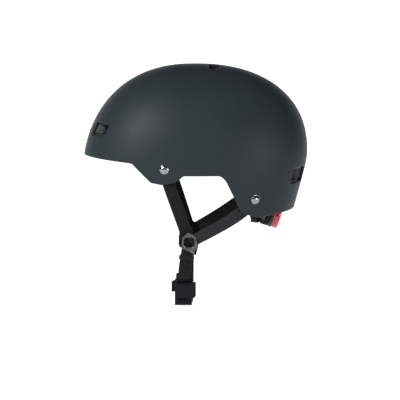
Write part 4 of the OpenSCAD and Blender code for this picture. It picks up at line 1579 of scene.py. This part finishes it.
# ---- fit system ---------------------------------------------------------------------
@dataclass
class FitDial:
    """The dial, its racks and the cradle at the nape.

    Attributes:
        cap_r: Radius of the coloured cap.
        cap_t: Thickness of the cap.
        knob_t: Thickness of the ribbed knob.
        ribs: Number of ribs on the knob.
    """

    cap_r: float = 15.0
    cap_t: float = 7.0
    knob_t: float = 6.0
    ribs: int = 36

    def __post_init__(self) -> None:
        """Finds the dial's axis from its joint."""
        joint = joint_of("dial_turn")
        self.at = np.array(joint["pos_m"]) / MM
        self.axis = unit(np.array(joint["axis"], float))
        self.up = unit(np.cross(self.axis, [0.0, 1.0, 0.0]))
        self.side = np.array([0.0, 1.0, 0.0])

    def turned(self, line: np.ndarray, ripple: np.ndarray | None = None, count: int = 128) -> np.ndarray:
        """A line of radius and height turned round the dial's axis.

        Args:
            line: Radius and height, one row each.
            ripple: Amount added to the radius at each height and angle.
            count: Points round the axis.

        Returns:
            Rows of points.
        """
        turn = np.linspace(0, 2 * math.pi, count, endpoint=False)
        radius = line[:, 0:1] + (0 if ripple is None else ripple)
        radius = np.broadcast_to(radius, (len(line), count))
        ring = np.cos(turn)[:, None] * self.up + np.sin(turn)[:, None] * self.side
        return self.at + radius[..., None] * ring + line[:, 1, None, None] * self.axis

    def build(self) -> None:
        """Builds every piece of the fit system."""
        self.build_cap()
        self.build_knob()
        for node, width, finish, slot, body in (
                ("dial_pinion", 0.15, "nylon_white", "pinion_nylon", "dial"),
                ("dial_housing", 0.8, "band_black", "band_plastic", "root"),
                ("dial_cover", 0.8, "band_black", "band_plastic", "root"),
                ("nape_cradle", 0.6, "band_black", "band_plastic", "root"),
                ("cradle_hanger", 0.3, "band_black", "band_plastic", "root"),
                ("left_rack_arm", 0.25, "band_black", "band_plastic", "left_arm"),
                ("right_rack_arm", 0.25, "band_black", "band_plastic", "right_arm"),
                ("left_temple_plug", 0.4, "band_black", "band_plastic", "root"),
                ("right_temple_plug", 0.4, "band_black", "band_plastic", "root")):
            settle(softened(node, width), finish, body)
        for side in ("left", "right"):
            box = node_box(side + "_temple_band")
            front, rear = box[0][0], box[1][0]
            mid = box.mean(0)
            band = softened(side + "_temple_band", 0.3)
            settle(band, "band_black",
                   bend=("root", side + "_arm", (front + 14, mid[1], mid[2]), (rear - 1, mid[1], mid[2])))

    def build_cap(self) -> None:
        """Builds the glossy cap: a puck with rounded edges and a slightly domed face."""
        r, t = self.cap_r, self.cap_t - 0.3
        f = np.linspace(0, 0.5 * math.pi, 9)
        face = np.linspace(0.02, 1, 12)[:, None] * (r - 2.2)
        dome = np.hstack([face, 0 * face - 0.05 + 0.35 * (1 - (face / r) ** 2) - 0.35])
        edge = np.stack([r - 2.2 + 2.2 * np.sin(f), -2.2 + 2.2 * np.cos(f) - 0.35 + 0.05], 1)
        base = np.array([[r, -t + 0.8], [r - 0.15, -t + 0.3], [r - 0.6, -t], [2.0, -t]])
        maker = MeshMaker()
        maker.grid(self.turned(np.vstack([dome, edge, base])), wrap_v=True, cap_start=True, cap_end=True)
        settle(maker.make("dial_cap_red"), "cap_red", "dial", stands_for=("dial_cap",))

    def build_knob(self) -> None:
        """Builds the knob with grip ribs, and the thin ring behind the cap."""
        top, bottom = -self.cap_t, -self.cap_t - self.knob_t
        line = np.array([[2.9, top], [13.0, top], [14.1, top - 0.25], [14.6, top - 0.9],
                         [14.75, top - 2.0], [14.75, bottom + 2.0], [14.6, bottom + 0.9],
                         [14.1, bottom + 0.25], [13.4, bottom], [3.1, bottom], [3.1, bottom + 4.0],
                         [2.9, bottom + 4.0]])
        weight = np.array([0, 0, 0, 0.5, 1, 1, 0.5, 0, 0, 0, 0, 0])
        turn = np.linspace(0, 2 * math.pi, 288, endpoint=False)
        ripple = 0.45 * weight[:, None] * (2 * np.abs(np.cos(0.5 * self.ribs * turn)) ** 0.7 - 1)[None, :]
        maker = MeshMaker()
        maker.grid(self.turned(line, ripple, 288), wrap_u=True, wrap_v=True)
        settle(maker.make("dial_knob_ribbed"), "knob_black", "dial",
               stands_for=("dial_knob",))
        f = np.linspace(0, 2 * math.pi, 17)[:-1]
        ring = np.stack([14.7 + 0.5 * np.cos(f), top - 0.45 + 0.45 * np.sin(f)], 1)
        maker = MeshMaker()
        maker.grid(self.turned(ring), wrap_u=True, wrap_v=True)
        settle(maker.make("dial_ring"), "ring_rose", "dial")


# ---- studio -------------------------------------------------------------------------
@dataclass
class Studio:
    """Floor, light and camera.

    Attributes:
        azimuth: Camera's angle round the helmet, in degrees.
        elevation: Camera's angle above the horizon.
        lens: Focal length in millimetres.
        span: Width of the view at the helmet, in metres.
        aim: Middle of the view, in metres.
        floor_front: Reach of the floor toward the camera, in millimetres.
        floor_rear: Where the floor starts to curve up, in millimetres.
        cove: Radius of that curve, in millimetres.
        lamps: Name, place, aim, size and power of each lamp.
    """

    azimuth: float = 0.0
    elevation: float = 5.0
    lens: float = 300.0
    span: float = 0.480
    aim: tuple = (0.0054, 0.0, -0.054)
    floor_front: float = -5600.0
    floor_rear: float = 3600.0
    cove: float = 1400.0
    lamps: tuple = (("key_lamp", (-1.55, -1.25, 1.25), (0, 0, 0.02), 0.8, 75.0),
                    ("back_lamp", (1.75, -1.25, 0.05), (0, 0, 0.0), 0.7, 26.0),
                    ("backdrop_lamp", (0.0, 2.6, 1.5), (0, 4.7, 0.2), 1.6, 60.0),
                    ("floor_lamp", (0.0, -3.2, 1.8), (0, -2.2, -0.2), 1.6, 6.0))

    def build(self) -> None:
        """Builds the floor, the lights and the camera."""
        self.build_floor()
        self.build_camera()
        self.build_lights()

    def build_floor(self) -> None:
        """Builds a pale floor that curves up into a backdrop."""
        level = float(CAD_BOX[0][2]) / MM - 1.0
        f = np.linspace(0, 0.5 * math.pi, 24)
        curve = np.stack([self.floor_rear + self.cove * np.sin(f), self.cove * (1 - np.cos(f))], 1)
        line = np.vstack([[self.floor_front, 0.0], [0.0, 0.0], curve, curve[-1] + [0.0, 500.0]])
        x = np.linspace(-4000, 4000, 9)
        points = np.stack([np.broadcast_to(x[None, :], (len(line), 9)),
                           np.broadcast_to(line[:, 0:1], (len(line), 9)),
                           np.broadcast_to(level + line[:, 1:2], (len(line), 9))], -1)
        maker = MeshMaker()
        maker.grid(points)
        floor = maker.make("studio_floor", outward=False)
        DRESSER.dress(floor, "floor_pale")

    def build_camera(self) -> None:
        """Sets a long lens on the helmet's left side."""
        data = bpy.data.cameras.new("studio_camera")
        data.lens, data.sensor_width = self.lens, 36.0
        far = self.span * self.lens / data.sensor_width
        az, el = math.radians(self.azimuth), math.radians(self.elevation)
        back = Vector((math.sin(az) * math.cos(el), -math.cos(az) * math.cos(el), math.sin(el)))
        camera = bpy.data.objects.new("studio_camera", data)
        camera.location = Vector(self.aim) + back * far
        camera.rotation_euler = back.to_track_quat("Z", "Y").to_euler()
        data.clip_end = 60.0
        bpy.context.scene.collection.objects.link(camera)
        bpy.context.scene.camera = camera

    def build_lights(self) -> None:
        """Sets a pale world, two soft lamps on the helmet and two on its surroundings."""
        world = bpy.data.worlds.new("studio_world")
        world.use_nodes = True
        sky = world.node_tree.nodes["Background"]
        sky.inputs[0].default_value = (0.93, 0.97, 1.0, 1.0)
        sky.inputs[1].default_value = 0.06
        bpy.context.scene.world = world
        bpy.context.scene.view_settings.view_transform = "Standard"
        for name, place, aim, size, power in self.lamps:
            lamp = bpy.data.lights.new(name, "AREA")
            lamp.size, lamp.energy, lamp.color = size, power, (0.98, 0.99, 1.0)
            obj = bpy.data.objects.new(name, lamp)
            obj.location = place
            obj.rotation_euler = (Vector(place) - Vector(aim)).to_track_quat("Z", "Y").to_euler()
            bpy.context.scene.collection.objects.link(obj)


def main() -> None:
    """Builds the helmet and the studio."""
    logging.basicConfig(level=logging.INFO, format="%(name)s %(message)s")
    Studio().build()
    HardShell().build()
    FoamLiner().build()
    ComfortPads().build()
    Harness().build()
    FitDial().build()
    LOG.info("%d pieces", len(REPORT))


if __name__ == "__main__":
    main()
